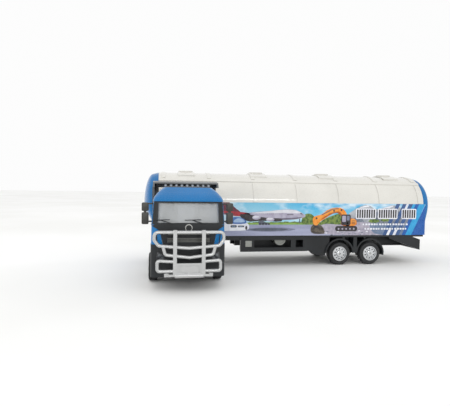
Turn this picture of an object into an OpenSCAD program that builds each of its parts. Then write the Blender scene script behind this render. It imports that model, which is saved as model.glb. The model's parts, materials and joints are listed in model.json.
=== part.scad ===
// Toy tanker truck: a tractor unit coupled at ninety degrees to a semi-trailer
// with a round-topped tank. Millimetres, +Z up, wheels on z = 0.

/* [Tank] */
// Width of the tank, and the diameter of its arched top
tank_w = 50; // [46:1:54]
// Length of the white shell between the two end caps
tank_len = 226; // [200:1:240]
// Height of the underside of the shell above the ground
floor_z = 25; // [24:0.5:28]
// Height of the centre of the arched top above the ground
arch_z = 50.2; // [48:0.1:54]
// Thickness of the shell
tank_wall = 1.4; // [1.2:0.1:2]
// Width of the cylindrical rim of an end cap
cap_rim = 4; // [3:0.5:6]
// How far an end cap bulges past its rim
cap_bulge = 7.5; // [4:0.5:9]
// Number of raised hoops round the arched top
hoops = 7; // [3:1:9]
// Height of the printed side sheets
print_h = 26.6; // [22:0.1:27]

/* [Running gear] */
// Outer radius of every tyre
tyre_r = 9.4; // [9:0.1:9.6]
// Width of every tyre
tyre_w = 5.8; // [5:0.1:5.8]
// Distance between the outer faces of the tyres on one axle
track_w = 49; // [48:0.5:50]
// Radius of the steel axle shafts
shaft_r = 1; // [0.8:0.1:1.2]
// Radial clearance of the shafts in their bearings
run_gap = 0.06; // [0.03:0.01:0.1]
// Distance from the kingpin to the first trailer axle
bogie_x = 131; // [126:1:140]
// Distance between the two trailer axles
bogie_step = 27.4; // [26:0.2:29]

/* [Tractor] */
// Distance from the kingpin to the front axle
front_axle_y = 61; // [58:1:66]
// Distance from the kingpin back to the rear axle
rear_axle_y = 9; // [6:1:10]
// Distance from the front axle to the front of the cab
overhang = 28; // [26:1:30]
// Length of the cab
cab_len = 50; // [44:1:50]
// Width of the cab at its waist
cab_w = 45.2; // [42:0.2:46]
// Height of the cab roof above the ground
roof_z = 62.5; // [60:0.5:65]
// Radius of the kingpin
kingpin_r = 2.5; // [2:0.1:3]
// Radius of the bull bar tube
tube_r = 1; // [0.8:0.1:1.2]

/* [Hidden] */
$fn = 48;
eps = 0.01;

// The design is drawn about the kingpin; the origin of the part is the centre of its footprint.
half_w = tank_w / 2;
tank_x0 = -19;
tank_x1 = tank_x0 + tank_len;
cap_inset = 0.4;
tip_x0 = tank_x0 - cap_rim - cap_bulge;
tip_x1 = tank_x1 + cap_rim + cap_bulge;
print_t = 0.3;
cab_y0 = -(front_axle_y + overhang);
cab_y1 = cab_y0 + cab_len;
bar_y = cab_y0 - 8;
bar_front = bar_y - tube_r - 0.4;
shift = [-(tip_x0 + tip_x1) / 2, -(bar_front + half_w + print_t) / 2, 0];

// Trailer heights
deck_t = 1.6;
deck_z = floor_z - deck_t;
rail_z = 21.3;
plate_z = 21.5;
locker_z = 12;
beam_z = 14;
wheel_z = tyre_r;

// Hoops and hatches
hoop_w = 3;
hoop_t = 0.5;
hoop_margin = 3.8;
hoop_step = (tank_len - 2 * hoop_margin) / (hoops - 1);
rail_angle = 48;
hatch_n = 4;
hatch_x0 = 3.1;
hatch_step = 60.2;
hatch_l = 13.6;
hatch_w = 24;
hatch_rise = 1.5;

// Screws that hold the tank on the frame
post_x = [tank_x0 + 11, tank_x1 - 11];
post_y = 13;
post_r = 2.2;
pilot_r = 0.95;
screw_r = 0.9;
head_r = 1.7;

// Side lockers
locker_x0 = 46.2;
locker_x1 = 102;
locker_t = 3;
bogie_xs = [bogie_x, bogie_x + bogie_step];
guard_r = 12.9;
guard_t = 1.3;

// Tractor heights
chassis_z = 13.5;
chassis_t = 2;
waist_z = 28;
screen_z0 = 40.4;
screen_z1 = 54;
cab_wall = 1.2;
lower_z = 8;

blue = [0.10, 0.44, 0.74];
black = [0.10, 0.11, 0.12];
white = [0.90, 0.89, 0.86];
silver = [0.78, 0.79, 0.80];

// ---------- small helpers ----------

module at_kingpin() translate(shift) children();

// Mirrors a part to the other side of a plane when side is -1
module sided(side, axis) {
    if (side > 0) children();
    else mirror(axis) children();
}

module box(low, high) translate(low) cube(high - low);

// A round bar from point a to point b
module rod(a, b, r) {
    d = b - a;
    translate(a) rotate([0, acos(d[2] / norm(d)), atan2(d[1], d[0])]) cylinder(h = norm(d), r = r);
}

// A tube through points of the x-z plane, its corners bent to radius b
module bent_tube(pts, b, r) rotate([90, 0, 0]) {
    n = len(pts);
    lap = 0.25;
    dir = [for (i = [0 : n - 2]) (pts[i + 1] - pts[i]) / norm(pts[i + 1] - pts[i])];
    turn = [for (i = [1 : n - 2]) acos(dir[i - 1] * dir[i])];
    trim = concat([0], [for (t = turn) b * tan(t / 2) - lap], [0]);
    for (i = [0 : n - 2]) let (p = pts[i] + trim[i] * dir[i], q = pts[i + 1] - trim[i + 1] * dir[i])
        rod([p[0], p[1], 0], [q[0], q[1], 0], r);
    for (i = [1 : n - 2]) {
        side = cross(dir[i - 1], dir[i]) > 0 ? 1 : -1;
        inward = side * [-dir[i - 1][1], dir[i - 1][0]];
        centre = pts[i] - b * tan(turn[i - 1] / 2) * dir[i - 1] + b * inward;
        from = atan2(-inward[1], -inward[0]) - (side > 0 ? 0 : turn[i - 1]);
        translate([centre[0], centre[1], 0]) rotate([0, 0, from])
            rotate_extrude(angle = turn[i - 1]) translate([b, 0]) circle(r = r + 0.05);
    }
}

// A rounded rectangle of half width w and length l, centred on x
module plan(w, y0, y1, r) translate([0, (y0 + y1) / 2])
    offset(r = r, $fn = 32) square([2 * (w - r), y1 - y0 - 2 * r], center = true);

// ---------- tank ----------

// The round-topped section of the tank between x0 and x1, grown by g
module tank_solid(x0, x1, g = 0, foot = floor_z) {
    translate([x0, 0, arch_z]) rotate([0, 90, 0]) cylinder(h = x1 - x0, r = half_w + g, $fn = 96);
    box([x0, -half_w - g, foot], [x1, half_w + g, arch_z]);
}

// A curved strip of the arched top, from angle a0 to a1 above the side
module arch_strip(x0, x1, a0, a1, t) intersection() {
    difference() {
        translate([x0, 0, arch_z]) rotate([0, 90, 0]) cylinder(h = x1 - x0, r = half_w + t, $fn = 96);
        translate([x0 - 1, 0, arch_z]) rotate([0, 90, 0])
            cylinder(h = x1 - x0 + 2, r = half_w - 0.2, $fn = 96);
    }
    reach = 2 * tank_w;
    translate([x0 - 1, 0, arch_z]) rotate([90, 0, 90]) linear_extrude(x1 - x0 + 2)
        polygon([[0, 0], reach * [-cos(a0), sin(a0)], reach * [-cos((a0 + a1) / 2), sin((a0 + a1) / 2)],
            reach * [-cos(a1), sin(a1)]]);
}

module tank_posts(r, h) for (x = post_x, y = [-post_y, post_y])
    translate([x, y, floor_z]) cylinder(h = h, r = r);

module tank_shell() color(white) difference() {
    union() {
        difference() {
            tank_solid(tank_x0, tank_x1);
            tank_solid(tank_x0 - 1, tank_x1 + 1, -tank_wall, floor_z - 1);
        }
        for (i = [0 : hoops - 1]) {
            x = tank_x0 + hoop_margin + i * hoop_step;
            arch_strip(x - hoop_w / 2, x + hoop_w / 2, 4, rail_angle - 5, hoop_t);
            arch_strip(x - hoop_w / 2, x + hoop_w / 2, rail_angle + 5, 175 - rail_angle, hoop_t);
            arch_strip(x - hoop_w / 2, x + hoop_w / 2, 185 - rail_angle, 176, hoop_t);
        }
        for (a = [rail_angle, 180 - rail_angle])
            arch_strip(tank_x0, tank_x1, a - 3, a + 3, hoop_t);
        intersection() {
            tank_posts(post_r, 2 * half_w);
            tank_solid(tank_x0, tank_x1, -tank_wall / 2);
        }
    }
    translate([0, 0, -1]) tank_posts(pilot_r, 13);
}

// Outline of an end cap about the arch centre: a half circle over a rectangle
cap_r = half_w - cap_inset;
cap_drop = arch_z - floor_z;
cap_outline = concat(
    [for (a = [0 : 9 : 180]) cap_r * [cos(a), sin(a)]],
    [for (k = [1 : 5]) [-cap_r, -cap_drop * k / 5]],
    [for (k = [1 : 9]) [-cap_r + 2 * cap_r * k / 10, -cap_drop]],
    [for (k = [0 : 4]) [cap_r, -cap_drop * (1 - k / 5)]]
);
cap_rings = 8;
rim_taper = 0.965;
foot_draw = cap_rim - 2;

// Bulge of the cap at point p of its face: a dome above, fading to nothing at the foot
function bulge(p, depth) = p[1] >= 0
    ? depth * sqrt(max(0, 1 - (p[0] * p[0] + p[1] * p[1]) / (cap_r * cap_r)))
    : depth * sqrt(max(0, 1 - p[0] * p[0] / (cap_r * cap_r)))
        * (1 + cos(180 * p[1] / cap_drop)) / 2;

// How far the face draws back towards the foot of the cap at point p
function foot_in(p) = p[1] >= 0 ? 0 : foot_draw * (1 - cos(180 * p[1] / cap_drop)) / 2;

// The domed face, swelling along +Z from a tapered rim whose flat back is at z = -back
module dome(depth, back, root = 1) {
    n = len(cap_outline);
    ring_at = [for (k = [0 : cap_rings - 1]) cos(90 * k / cap_rings)];
    points = concat(
        [for (p = cap_outline) [p[0] * root, p[1] * root, -back]],
        [for (s = ring_at) for (p = cap_outline)
            [p[0] * s * rim_taper, p[1] * s * rim_taper, bulge(p * s, depth) - foot_in(p * s)]],
        [[0, 0, -back], [0, 0, depth]]
    );
    back_centre = n * (cap_rings + 1);
    faces = concat(
        [for (i = [0 : n - 1]) [back_centre, i, (i + 1) % n]],
        [for (k = [0 : cap_rings - 1]) for (i = [0 : n - 1])
            let (a = k * n + i, b = k * n + (i + 1) % n) [a, a + n, b]],
        [for (k = [0 : cap_rings - 1]) for (i = [0 : n - 1])
            let (a = k * n + i, b = k * n + (i + 1) % n) [b, a + n, b + n]],
        [for (i = [0 : n - 1])
            [back_centre + 1, cap_rings * n + (i + 1) % n, cap_rings * n + i]]
    );
    polyhedron(points, faces, convexity = 4);
}

// A hollow end cap at the face x, bulging along +X when side is 1
module end_cap(x, side) color(blue) translate([x, 0, arch_z])
    rotate([90, 0, side > 0 ? 90 : -90]) translate([0, 0, cap_rim])
        difference() {
            dome(cap_bulge, cap_rim);
            translate([0, 0, -tank_wall]) scale(0.94)
                dome(cap_bulge, cap_rim + 3, rim_taper);
        }

module side_print(side) color([0.25, 0.62, 0.85]) sided(side, [0, 1, 0])
    box([tank_x0 - 2, half_w, floor_z], [tank_x1 + 2, half_w + print_t, floor_z + print_h]);

module tank_hatch(i) color(white) difference() {
    x = hatch_x0 + i * hatch_step;
    intersection() {
        union() {
            box([x - hatch_l / 2, -hatch_w / 2, arch_z], [x + hatch_l / 2, hatch_w / 2, arch_z + 30]);
            translate([x, 0, arch_z]) cylinder(h = 27.3, r = 6);
        }
        union() {
            translate([x - hatch_l, 0, arch_z]) rotate([0, 90, 0])
                cylinder(h = 2 * hatch_l, r = half_w + hatch_rise - 0.6, $fn = 96);
            translate([x, 0, arch_z]) cylinder(h = half_w + hatch_rise, r = 6);
        }
    }
    translate([x - hatch_l, 0, arch_z]) rotate([0, 90, 0])
        cylinder(h = 2 * hatch_l, r = half_w, $fn = 96);
    for (k = [0 : hoops - 1]) translate([tank_x0 + hoop_margin + k * hoop_step - hoop_w / 2, 0, arch_z])
        rotate([0, 90, 0]) cylinder(h = hoop_w, r = half_w + hoop_t, $fn = 96);
}

// ---------- trailer chassis ----------

// A block that carries one trailer shaft, hung from the beams
module axle_hanger(x) for (s = [-1, 1])
    translate([x - 4, s > 0 ? 7 : -17, wheel_z - 4]) cube([8, 10, beam_z - wheel_z + 5]);

module trailer_frame() color(black) difference() {
    union() {
        box([tank_x0 - 2.5, -half_w + 0.6, deck_z], [tank_x1 + 1, half_w - 0.6, floor_z]);
        for (s = [-1, 1]) {
            sided(s, [0, 1, 0]) box([tank_x0 + 1, 20.5, rail_z], [locker_x0, 23.8, deck_z + 0.5]);
            sided(s, [0, 1, 0]) box([57, 7, beam_z], [tank_x1 - 9, 9.6, deck_z + 0.5]);
            sided(s, [0, 1, 0]) box([57, 6, beam_z], [tank_x1 - 9, 10.6, beam_z + 1]);
        }
        for (x = [57, 80, 106, 145, 176]) box([x, -9.6, beam_z + 1.5], [x + 2.5, 9.6, deck_z + 0.5]);
        translate([0, 0, plate_z]) cylinder(h = deck_z - plate_z + 0.5, r = 13);
        for (x = bogie_xs) axle_hanger(x);
    }
    for (x = bogie_xs) translate([x, -half_w, wheel_z]) rotate([-90, 0, 0])
        cylinder(h = tank_w, r = shaft_r + run_gap);
    translate([0, 0, rail_z - 1]) cylinder(h = 5, r = kingpin_r);
    for (x = post_x, y = [-post_y, post_y])
        translate([x, y, deck_z - 1]) cylinder(h = 4, r = screw_r + 0.1);
}

// The moulded side guard with its three openings
module side_locker(side) color(black) sided(side, [0, 1, 0]) difference() {
    union() {
        box([locker_x0, half_w - 0.4 - locker_t, locker_z], [locker_x1, half_w - 0.4, deck_z]);
        box([locker_x0 + 2, 11, deck_z - 2], [locker_x1 - 2, half_w - 2, deck_z]);
        box([locker_x0 + 2, 11, locker_z], [locker_x1 - 2, half_w - 2, locker_z + 1.2]);
        box([locker_x0 + 2, 11, locker_z], [locker_x1 - 2, 12, deck_z]);
    }
    box([57.2, 12.6, 15.3], [88, half_w + 1, 21.4]);
    box([92.2, 12.6, 15.3], [98.4, half_w + 1, 21.4]);
    box([50, half_w - 1.2, 15.8], [55.4, half_w + 1, 20.9]);
}

// Half-round reservoirs seen through the guard, one on each side, and the grey filler plates
module locker_fittings() color([0.45, 0.46, 0.44]) for (s = [-1, 1]) sided(s, [0, 1, 0]) {
    difference() {
        translate([79.6, 14, deck_z - 2]) rotate([-90, 0, 0]) cylinder(h = 8, r = 4.7);
        box([70, 10, deck_z - 2], [90, 24, 30]);
        translate([79.6, 21.4, deck_z - 2]) rotate([-90, 0, 0]) cylinder(h = 2, r = 3.7);
    }
    box([50.1, half_w - 1.2, 15.9], [55.3, half_w - 0.7, 20.8]);
}

module guard_arch(x) difference() {
    translate([x, half_w - 8.6, wheel_z]) rotate([-90, 0, 0]) cylinder(h = 8, r = guard_r);
    translate([x, half_w - 10, wheel_z]) rotate([-90, 0, 0]) cylinder(h = 12, r = guard_r - guard_t);
    box([x - 20, half_w - 10, -20], [x + 20, half_w + 1, wheel_z + 0.6]);
}

// Two arches, the apron in front of them and the flap behind
module mudguard(side) color(black) sided(side, [0, 1, 0]) difference() {
    union() {
        for (x = bogie_xs) guard_arch(x);
        box([locker_x1, half_w - 8.6, 12], [bogie_xs[0] - 9, half_w - 1.6, deck_z]);
        translate([0, half_w - 1.6, 0]) rotate([90, 0, 0]) linear_extrude(6)
            polygon([[locker_x1 + 1, 12.5], [112, 8], [118.6, 8], [118.6, 14], [locker_x1 + 1, 14]]);
        box([bogie_xs[1] + 11.4, half_w - 8.6, 7.9], [bogie_xs[1] + 12.7, half_w - 0.6, wheel_z + 1]);
        for (x = [bogie_xs[0] + 3, bogie_xs[1] - 5]) box([x, 10.7, 19.5], [x + 2, half_w - 2, deck_z]);
        box([(bogie_xs[0] + bogie_xs[1]) / 2 - 1.6, half_w - 8.6, wheel_z + 0.6],
            [(bogie_xs[0] + bogie_xs[1]) / 2 + 1.6, half_w - 0.6, deck_z]);
    }
    for (x = bogie_xs) translate([x, 0, wheel_z]) rotate([-90, 0, 0])
        cylinder(h = half_w + 1, r = guard_r - guard_t);
}

// Two wedge-shaped brackets with the bar across their tails
module rear_bumper() color(black) {
    for (s = [-1, 1]) sided(s, [0, 1, 0]) translate([0, half_w - 0.8, 0]) rotate([90, 0, 0])
        linear_extrude(1.6)
            polygon([[175.6, deck_z], [176, 22], [205.4, 11.9], [205.4, 20.8], [198, deck_z]]);
    difference() {
        rotate([90, 0, 0]) translate([0, 0, -half_w + 2.4]) linear_extrude(tank_w - 4.8)
            polygon([[198, 14.4], [205.4, 11.9], [205.4, 20.8], [198, deck_z]]);
        box([190, -half_w + 4, 10], [203.4, half_w - 4, deck_z - 1.4]);
    }
}

module tail_lamps() color([0.65, 0.05, 0.05]) for (s = [-1, 1], k = [0 : 2])
    translate([205.4, s * (19.4 - 4.2 * k), 16.4]) rotate([0, 90, 0]) cylinder(h = 0.9, r = 1.7);

module kingpin() color(silver) difference() {
    union() {
        translate([0, 0, 15.6]) cylinder(h = floor_z - 15.6, r = kingpin_r);
        translate([0, 0, 15.6]) cylinder(h = 2, r = kingpin_r + 0.9);
    }
    translate([0, 0, 15]) cylinder(h = 3, r = 0.9, $fn = 24);
}

// A pan-head screw with a cross slot, its head down at z = 0 and its shank upward
module screw(length) difference() {
    union() {
        translate([0, 0, -1.1]) cylinder(h = 1.1, r = head_r, $fn = 32);
        cylinder(h = length, r = screw_r, $fn = 24);
    }
    for (a = [0, 90]) rotate([0, 0, a]) translate([-1, -0.2, -1.3]) cube([2, 0.4, 0.8]);
}

module frame_screws() color(silver) for (x = post_x, y = [-post_y, post_y])
    translate([x, y, deck_z]) screw(9);

// ---------- wheels ----------

// A tyre standing on z = 0 about the z axis, with three grooves round its tread
module tyre() color([0.13, 0.13, 0.14]) rotate_extrude($fn = 72) difference() {
    polygon([[6.3, 0.4], [7.6, 0.15], [8.5, 0], [9.1, 0.4], [tyre_r, 1.1],
        [tyre_r, tyre_w - 1.1], [9.1, tyre_w - 0.4], [8.5, tyre_w],
        [7.6, tyre_w - 0.15], [6.3, tyre_w - 0.4]]);
    for (k = [-1 : 1]) translate([tyre_r - 0.35, tyre_w / 2 + 1.25 * k - 0.2]) square([1, 0.4]);
}

// A ten-slot hub about the z axis, its outer face at z = tyre_w
module hub() color(silver) difference() {
    rotate_extrude($fn = 72) polygon([[shaft_r, 0.6], [2.4, 0.6], [2.4, 3.2], [5.2, 3.6], [5.2, 0.4],
        [6.3, 0.4], [6.3, tyre_w - 0.4], [6.0, tyre_w + 0.1], [5.5, tyre_w + 0.1], [5.1, tyre_w - 0.9],
        [2.8, tyre_w - 0.7], [2.4, tyre_w + 0.3], [1.9, tyre_w + 0.5], [shaft_r, tyre_w + 0.5]]);
    for (a = [0 : 36 : 324]) rotate([0, 0, a]) translate([3.95, 0, 2])
        cylinder(h = 5, r = 0.62, $fn = 24);
}

// Places a wheel part on an axle along x (turn 0) or along y (turn 90); side picks the end
module on_axle(p, turn, side, inboard = 0) translate(p) rotate([0, 0, turn])
    rotate([0, side > 0 ? 90 : -90, 0]) translate([0, 0, track_w / 2 - tyre_w - inboard]) children();

module shaft(p, turn) color([0.7, 0.71, 0.72]) translate(p) rotate([0, 90, turn])
    cylinder(h = track_w - 0.6, r = shaft_r, center = true);

front_p = [0, -front_axle_y, wheel_z];
rear_p = [0, rear_axle_y, wheel_z];
dual_gap = 0.4;

module rear_tyres(side) {
    on_axle(rear_p, 0, side) tyre();
    on_axle(rear_p, 0, side, tyre_w + dual_gap) tyre();
}

// The rear hub carries both tyres of its side
module rear_hub(side) {
    on_axle(rear_p, 0, side) hub();
    color(silver) on_axle(rear_p, 0, side, tyre_w + dual_gap) difference() {
        cylinder(h = tyre_w + dual_gap + 0.8, r = 6.3, $fn = 72);
        translate([0, 0, -1]) cylinder(h = 20, r = 5.2);
    }
    color(silver) on_axle(rear_p, 0, side, tyre_w + dual_gap) difference() {
        translate([0, 0, 1]) cylinder(h = 1.2, r = 5.2);
        cylinder(h = 4, r = shaft_r);
    }
}

// ---------- tractor chassis ----------

module tractor_chassis() color(black) difference() {
    union() {
        for (s = [-1, 1]) sided(s, [1, 0, 0]) {
            box([5, cab_y0 + 6, chassis_z - 2.5], [7.4, 21, chassis_z + chassis_t]);
            box([5, cab_y0 + 6, chassis_z - 2.5], [8.6, 21, chassis_z - 1.6]);
        }
        box([-8, cab_y0 + 4, chassis_z], [8, -17, chassis_z + chassis_t]);
        for (y = [-14, 2, 16]) box([-5.5, y, chassis_z - 1.5], [5.5, y + 2.4, chassis_z + 1.5]);
        box([-17.4, -front_axle_y - 4, wheel_z - 4], [17.4, -front_axle_y + 4, chassis_z]);
        box([-11.4, rear_axle_y - 4, wheel_z - 4], [11.4, rear_axle_y + 4, chassis_z]);
        box([-22, 21, 11], [22, 23, 17.4]);
        for (y = [-32, -12]) box([-15, y, chassis_z - 2], [15, y + 3, chassis_z]);
        for (y = [cab_y0 + 12, cab_y1 - 6]) translate([0, y, chassis_z + chassis_t - eps])
            cylinder(h = waist_z - chassis_z - chassis_t + eps, r = 2.6);
    }
    for (y = [-front_axle_y, rear_axle_y]) translate([-30, y, wheel_z]) rotate([0, 90, 0])
        cylinder(h = 60, r = shaft_r + run_gap);
    for (y = [cab_y0 + 12, cab_y1 - 6]) translate([0, y, chassis_z - 1]) cylinder(h = 30, r = pilot_r);
}

module cab_screws() color(silver) for (y = [cab_y0 + 12, cab_y1 - 6])
    translate([0, y, chassis_z]) screw(14);

// The coupling plate with its kingpin hole and the slot behind it
module fifth_wheel() color([0.16, 0.16, 0.17]) difference() {
    union() {
        translate([0, 0, 18.9]) cylinder(h = plate_z - 0.3 - 18.9, r = 12);
        for (s = [-1, 1]) sided(s, [1, 0, 0]) box([5.2, -5, chassis_z + chassis_t], [9.4, 5, 19.2]);
    }
    translate([0, 0, 15]) cylinder(h = 10, r = kingpin_r + 0.08);
    translate([0, 0, 15]) linear_extrude(10) polygon([[-1.9, 2], [1.9, 2], [6, 14], [-6, 14]]);
}

module tractor_mudguards() color(black) for (s = [-1, 1]) sided(s, [1, 0, 0]) difference() {
    union() {
        translate([12, rear_axle_y, wheel_z]) rotate([0, 90, 0]) cylinder(h = 12.6, r = 11.2);
        box([8.7, rear_axle_y + 1.6, 18.6], [13, rear_axle_y + 4.4, 19.9]);
        box([7.4, rear_axle_y + 1.6, chassis_z], [10.4, rear_axle_y + 4.4, 19.9]);
    }
    translate([11, rear_axle_y, wheel_z]) rotate([0, 90, 0]) cylinder(h = 20, r = 10.3);
    box([10.6, rear_axle_y - 20, -5], [30, rear_axle_y + 20, wheel_z + 1.5]);
}

// The panel between the axles, with a step and a sunk label field
module side_skirt(side) color([0.62, 0.62, 0.61]) sided(side, [1, 0, 0]) difference() {
    union() {
        box([17.2, cab_y1, 7.5], [23, -3.6, 19.4]);
        box([15, cab_y1 + 4, 9], [17.3, -8, 17]);
    }
    box([22.4, cab_y1 + 0.6, 8.6], [24, -5.2, 18.3]);
    box([14, cab_y1 + 0.5, 6], [21.6, -5, 8.6]);
}

// ---------- cab ----------

// Heights, half widths and front positions of the cab's outline, drawing in towards the roof
cab_half = cab_w / 2;
top_steps = 7;
function draw_in(t) = pow(t, 1.8);
top_slices = [for (k = [0 : top_steps]) let (t = k / top_steps, d = draw_in(t))
    [screen_z1 + (roof_z - screen_z1) * t, cab_half - 1.3 - 6.2 * d, cab_y0 + 0.9 + 8.1 * d]];
cab_slices = concat([[waist_z, cab_half, cab_y0], [screen_z0, cab_half - 0.2, cab_y0]], top_slices);

// The cab body grown by g
module cab_solid(g, slices) hull() for (s = slices)
    translate([0, 0, s[0]]) linear_extrude(0.05) plan(s[1] + g, s[2] - g, cab_y1 + g, 3);

module cab_window_cuts(g) {
    // windscreen
    rotate([90, 0, 0]) translate([0, 0, -cab_y0 - 5]) linear_extrude(8)
        polygon([[-19.2 + g, screen_z0 + g], [19.2 - g, screen_z0 + g], [18.6 - g, screen_z1 - g],
            [-18.6 + g, screen_z1 - g]]);
    // door windows
    rotate([90, 0, 90]) translate([0, 0, -30]) linear_extrude(60)
        polygon([[cab_y0 + 8 + g, 42.6 + g], [cab_y0 + 24 - g, 44 + g], [cab_y0 + 24 - g, 53 - g],
            [cab_y0 + 10.5 + g, 53 - g]]);
}

module cab_shell() color(blue) difference() {
    union() {
        difference() {
            cab_solid(0, cab_slices);
            translate([0, 0, -cab_wall]) cab_solid(-cab_wall, cab_slices);
            box([-cab_half + cab_wall, cab_y0 + 4, waist_z - 2],
                [cab_half - cab_wall, cab_y1 - 3, waist_z + 2]);
            cab_window_cuts(0);
            // the front below the windscreen belongs to the black grille panel
            rotate([90, 0, 0]) translate([0, 0, -cab_y0 - 4]) linear_extrude(8)
                polygon([[-15.4, waist_z - 1], [15.4, waist_z - 1], [17.6, 36], [19.8, screen_z0 + 0.1],
                    [-19.8, screen_z0 + 0.1], [-17.6, 36]]);
        }
        // sun visor
        intersection() {
            hull() for (k = [0 : top_steps - 2]) let (s = top_slices[k], proud = 1 - k / (top_steps - 2))
                translate([0, 0, s[0]]) linear_extrude(0.1)
                    plan(s[1] + 0.3 * proud, s[2] - 1.5 * proud, cab_y0 + 20, 4);
            box([-30, cab_y0 - 2, screen_z1 + 0.05], [30, cab_y0 + 5, 61]);
        }
    }
    translate([0, 0, -cab_wall]) cab_solid(-cab_wall, top_slices);
}

// The black lower body: bumper, arches and the grille panel up to the windscreen
module cab_lower() color(black) difference() {
    union() {
        difference() {
            translate([0, 0, lower_z]) linear_extrude(waist_z - lower_z)
                plan(cab_half + 0.2, cab_y0, cab_y1, 3);
            translate([0, 0, lower_z - 1]) linear_extrude(waist_z - lower_z + 2)
                plan(cab_half - 1.2, cab_y0 + 1.6, cab_y1 - 1.4, 2);
        }
        // grille panel
        difference() {
            rotate([90, 0, 0]) translate([0, 0, -cab_y0 - 1.2]) linear_extrude(1.6)
                polygon([[-15.2, waist_z - 0.5], [15.2, waist_z - 0.5], [17.4, 36],
                    [19.6, screen_z0 - 0.1], [-19.6, screen_z0 - 0.1], [-17.4, 36]]);
            for (z = [29.4, 32, 34.6]) box([-14, cab_y0 - 1, z], [14, cab_y0 - 0.1, z + 1.5]);
        }
        for (z = [17.5, 20.5, 23.5]) box([-13, cab_y0 - 0.5, z], [13, cab_y0 + 0.5, z + 1.2]);
        // inner walls that close the arches
        for (s = [-1, 1]) sided(s, [1, 0, 0])
            box([17.6, cab_y0 + 12, 21.5], [cab_half - 1, cab_y1 - 8, 22.7]);
        // feet that meet the chassis
        box([-17, cab_y0 + 1, lower_z + 1], [17, cab_y0 + 3.4, lower_z + 5]);
        box([-17, cab_y1 - 3, chassis_z + chassis_t], [17, cab_y1 - 1, waist_z - 4]);
    }
    // wheel arches
    translate([-30, -front_axle_y, wheel_z]) rotate([0, 90, 0]) cylinder(h = 60, r = 11.4, $fn = 64);
    // the tail of the body is higher than its front, and notched over the chassis
    box([-30, -front_axle_y + 10, 0], [30, cab_y1 + 1, 11]);
    box([-10, cab_y1 - 4, 0], [10, cab_y1 + 1, chassis_z + chassis_t]);
}

module cab_glass() color([0.8, 0.85, 0.88, 0.4]) intersection() {
    difference() {
        translate([0, 0, -cab_wall]) cab_solid(-cab_wall - 0.02, cab_slices);
        translate([0, 0, -cab_wall - 0.7]) cab_solid(-cab_wall - 0.75, cab_slices);
    }
    union() {
        box([-30, cab_y0, screen_z0 - 1], [30, cab_y0 + 6, screen_z1 - 1]);
        box([-30, cab_y0 + 6, 41], [30, cab_y0 + 26, 54.5]);
    }
}

// Floor, dashboard and rear bulkhead of the cab, in one moulding
module cab_interior() color([0.5, 0.5, 0.48]) {
    box([-20, cab_y0 + 4, waist_z], [20, cab_y1 - 2.4, waist_z + 1.2]);
    box([-18.6, cab_y1 - 3.6, waist_z], [18.6, cab_y1 - 2.4, 54]);
    rotate([90, 0, 90]) translate([0, 0, -18.5]) linear_extrude(37)
        polygon([[cab_y0 + 4, waist_z + 1], [cab_y0 + 10, waist_z + 1], [cab_y0 + 11, 38],
            [cab_y0 + 8, 40.2], [cab_y0 + 4, 39.4]]);
}

module seats() color([0.62, 0.62, 0.6]) for (s = [-1, 1])
    translate([s * 10.5, cab_y0 + 20, waist_z + 1.2]) {
    rotate([90, 0, 90]) translate([0, 0, -5]) linear_extrude(10)
        polygon([[-5, 0], [6, 0], [6.8, 20], [4.2, 20.5], [3, 7], [-5, 6.4]]);
    rotate([90, 0, 90]) translate([0, 0, -3]) linear_extrude(6)
        polygon([[4.4, 20.4], [6.6, 20.1], [7, 24], [5.4, 24.4]]);
}

dash_slope = atan2(2.2, 3);

// Stands square on the sloping top of the dashboard
module steering_wheel() color(black) translate([10.5, cab_y0 + 9.5, 39.1]) rotate([-dash_slope, 0, 0]) {
    cylinder(h = 3.3, r = 0.5);
    translate([0, 0, 3]) {
        rotate_extrude() translate([3.4, 0]) circle(r = 0.45);
        for (a = [90, 210, 330]) rotate([0, 90, a]) cylinder(h = 3.3, r = 0.3);
    }
}

module wipers() color(black) for (s = [-1, 1]) translate([s * 9.5, cab_y0 - 0.7, screen_z0]) {
    rod([0, 0, 0], [-7.6, 0.1, 2.4], 0.3);
    rod([-12, 0.1, 2.3], [-2, 0.1, 2.6], 0.25);
}

module front_badge() color(silver) translate([0, cab_y0 - 0.4, 38]) rotate([90, 0, 0]) difference() {
    cylinder(h = 0.7, r = 2.3);
    translate([0, 0, -1]) cylinder(h = 3, r = 1.75);
}

module headlamps() color([0.25, 0.26, 0.27]) for (s = [-1, 1]) sided(s, [1, 0, 0])
    rotate([90, 0, 0]) translate([0, 0, -cab_y0]) linear_extrude(0.7)
        polygon([[13.6, 21], [18.8, 23.6], [19.4, 19.2], [15, 18.6]]);

// ---------- fittings on the cab ----------

// The half outline pts, given from its top to the centre line, joined to its mirror image
function both_sides(pts) = concat(pts, [for (i = [len(pts) - 2 : -1 : 0]) [-pts[i][0], pts[i][1]]]);

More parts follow.
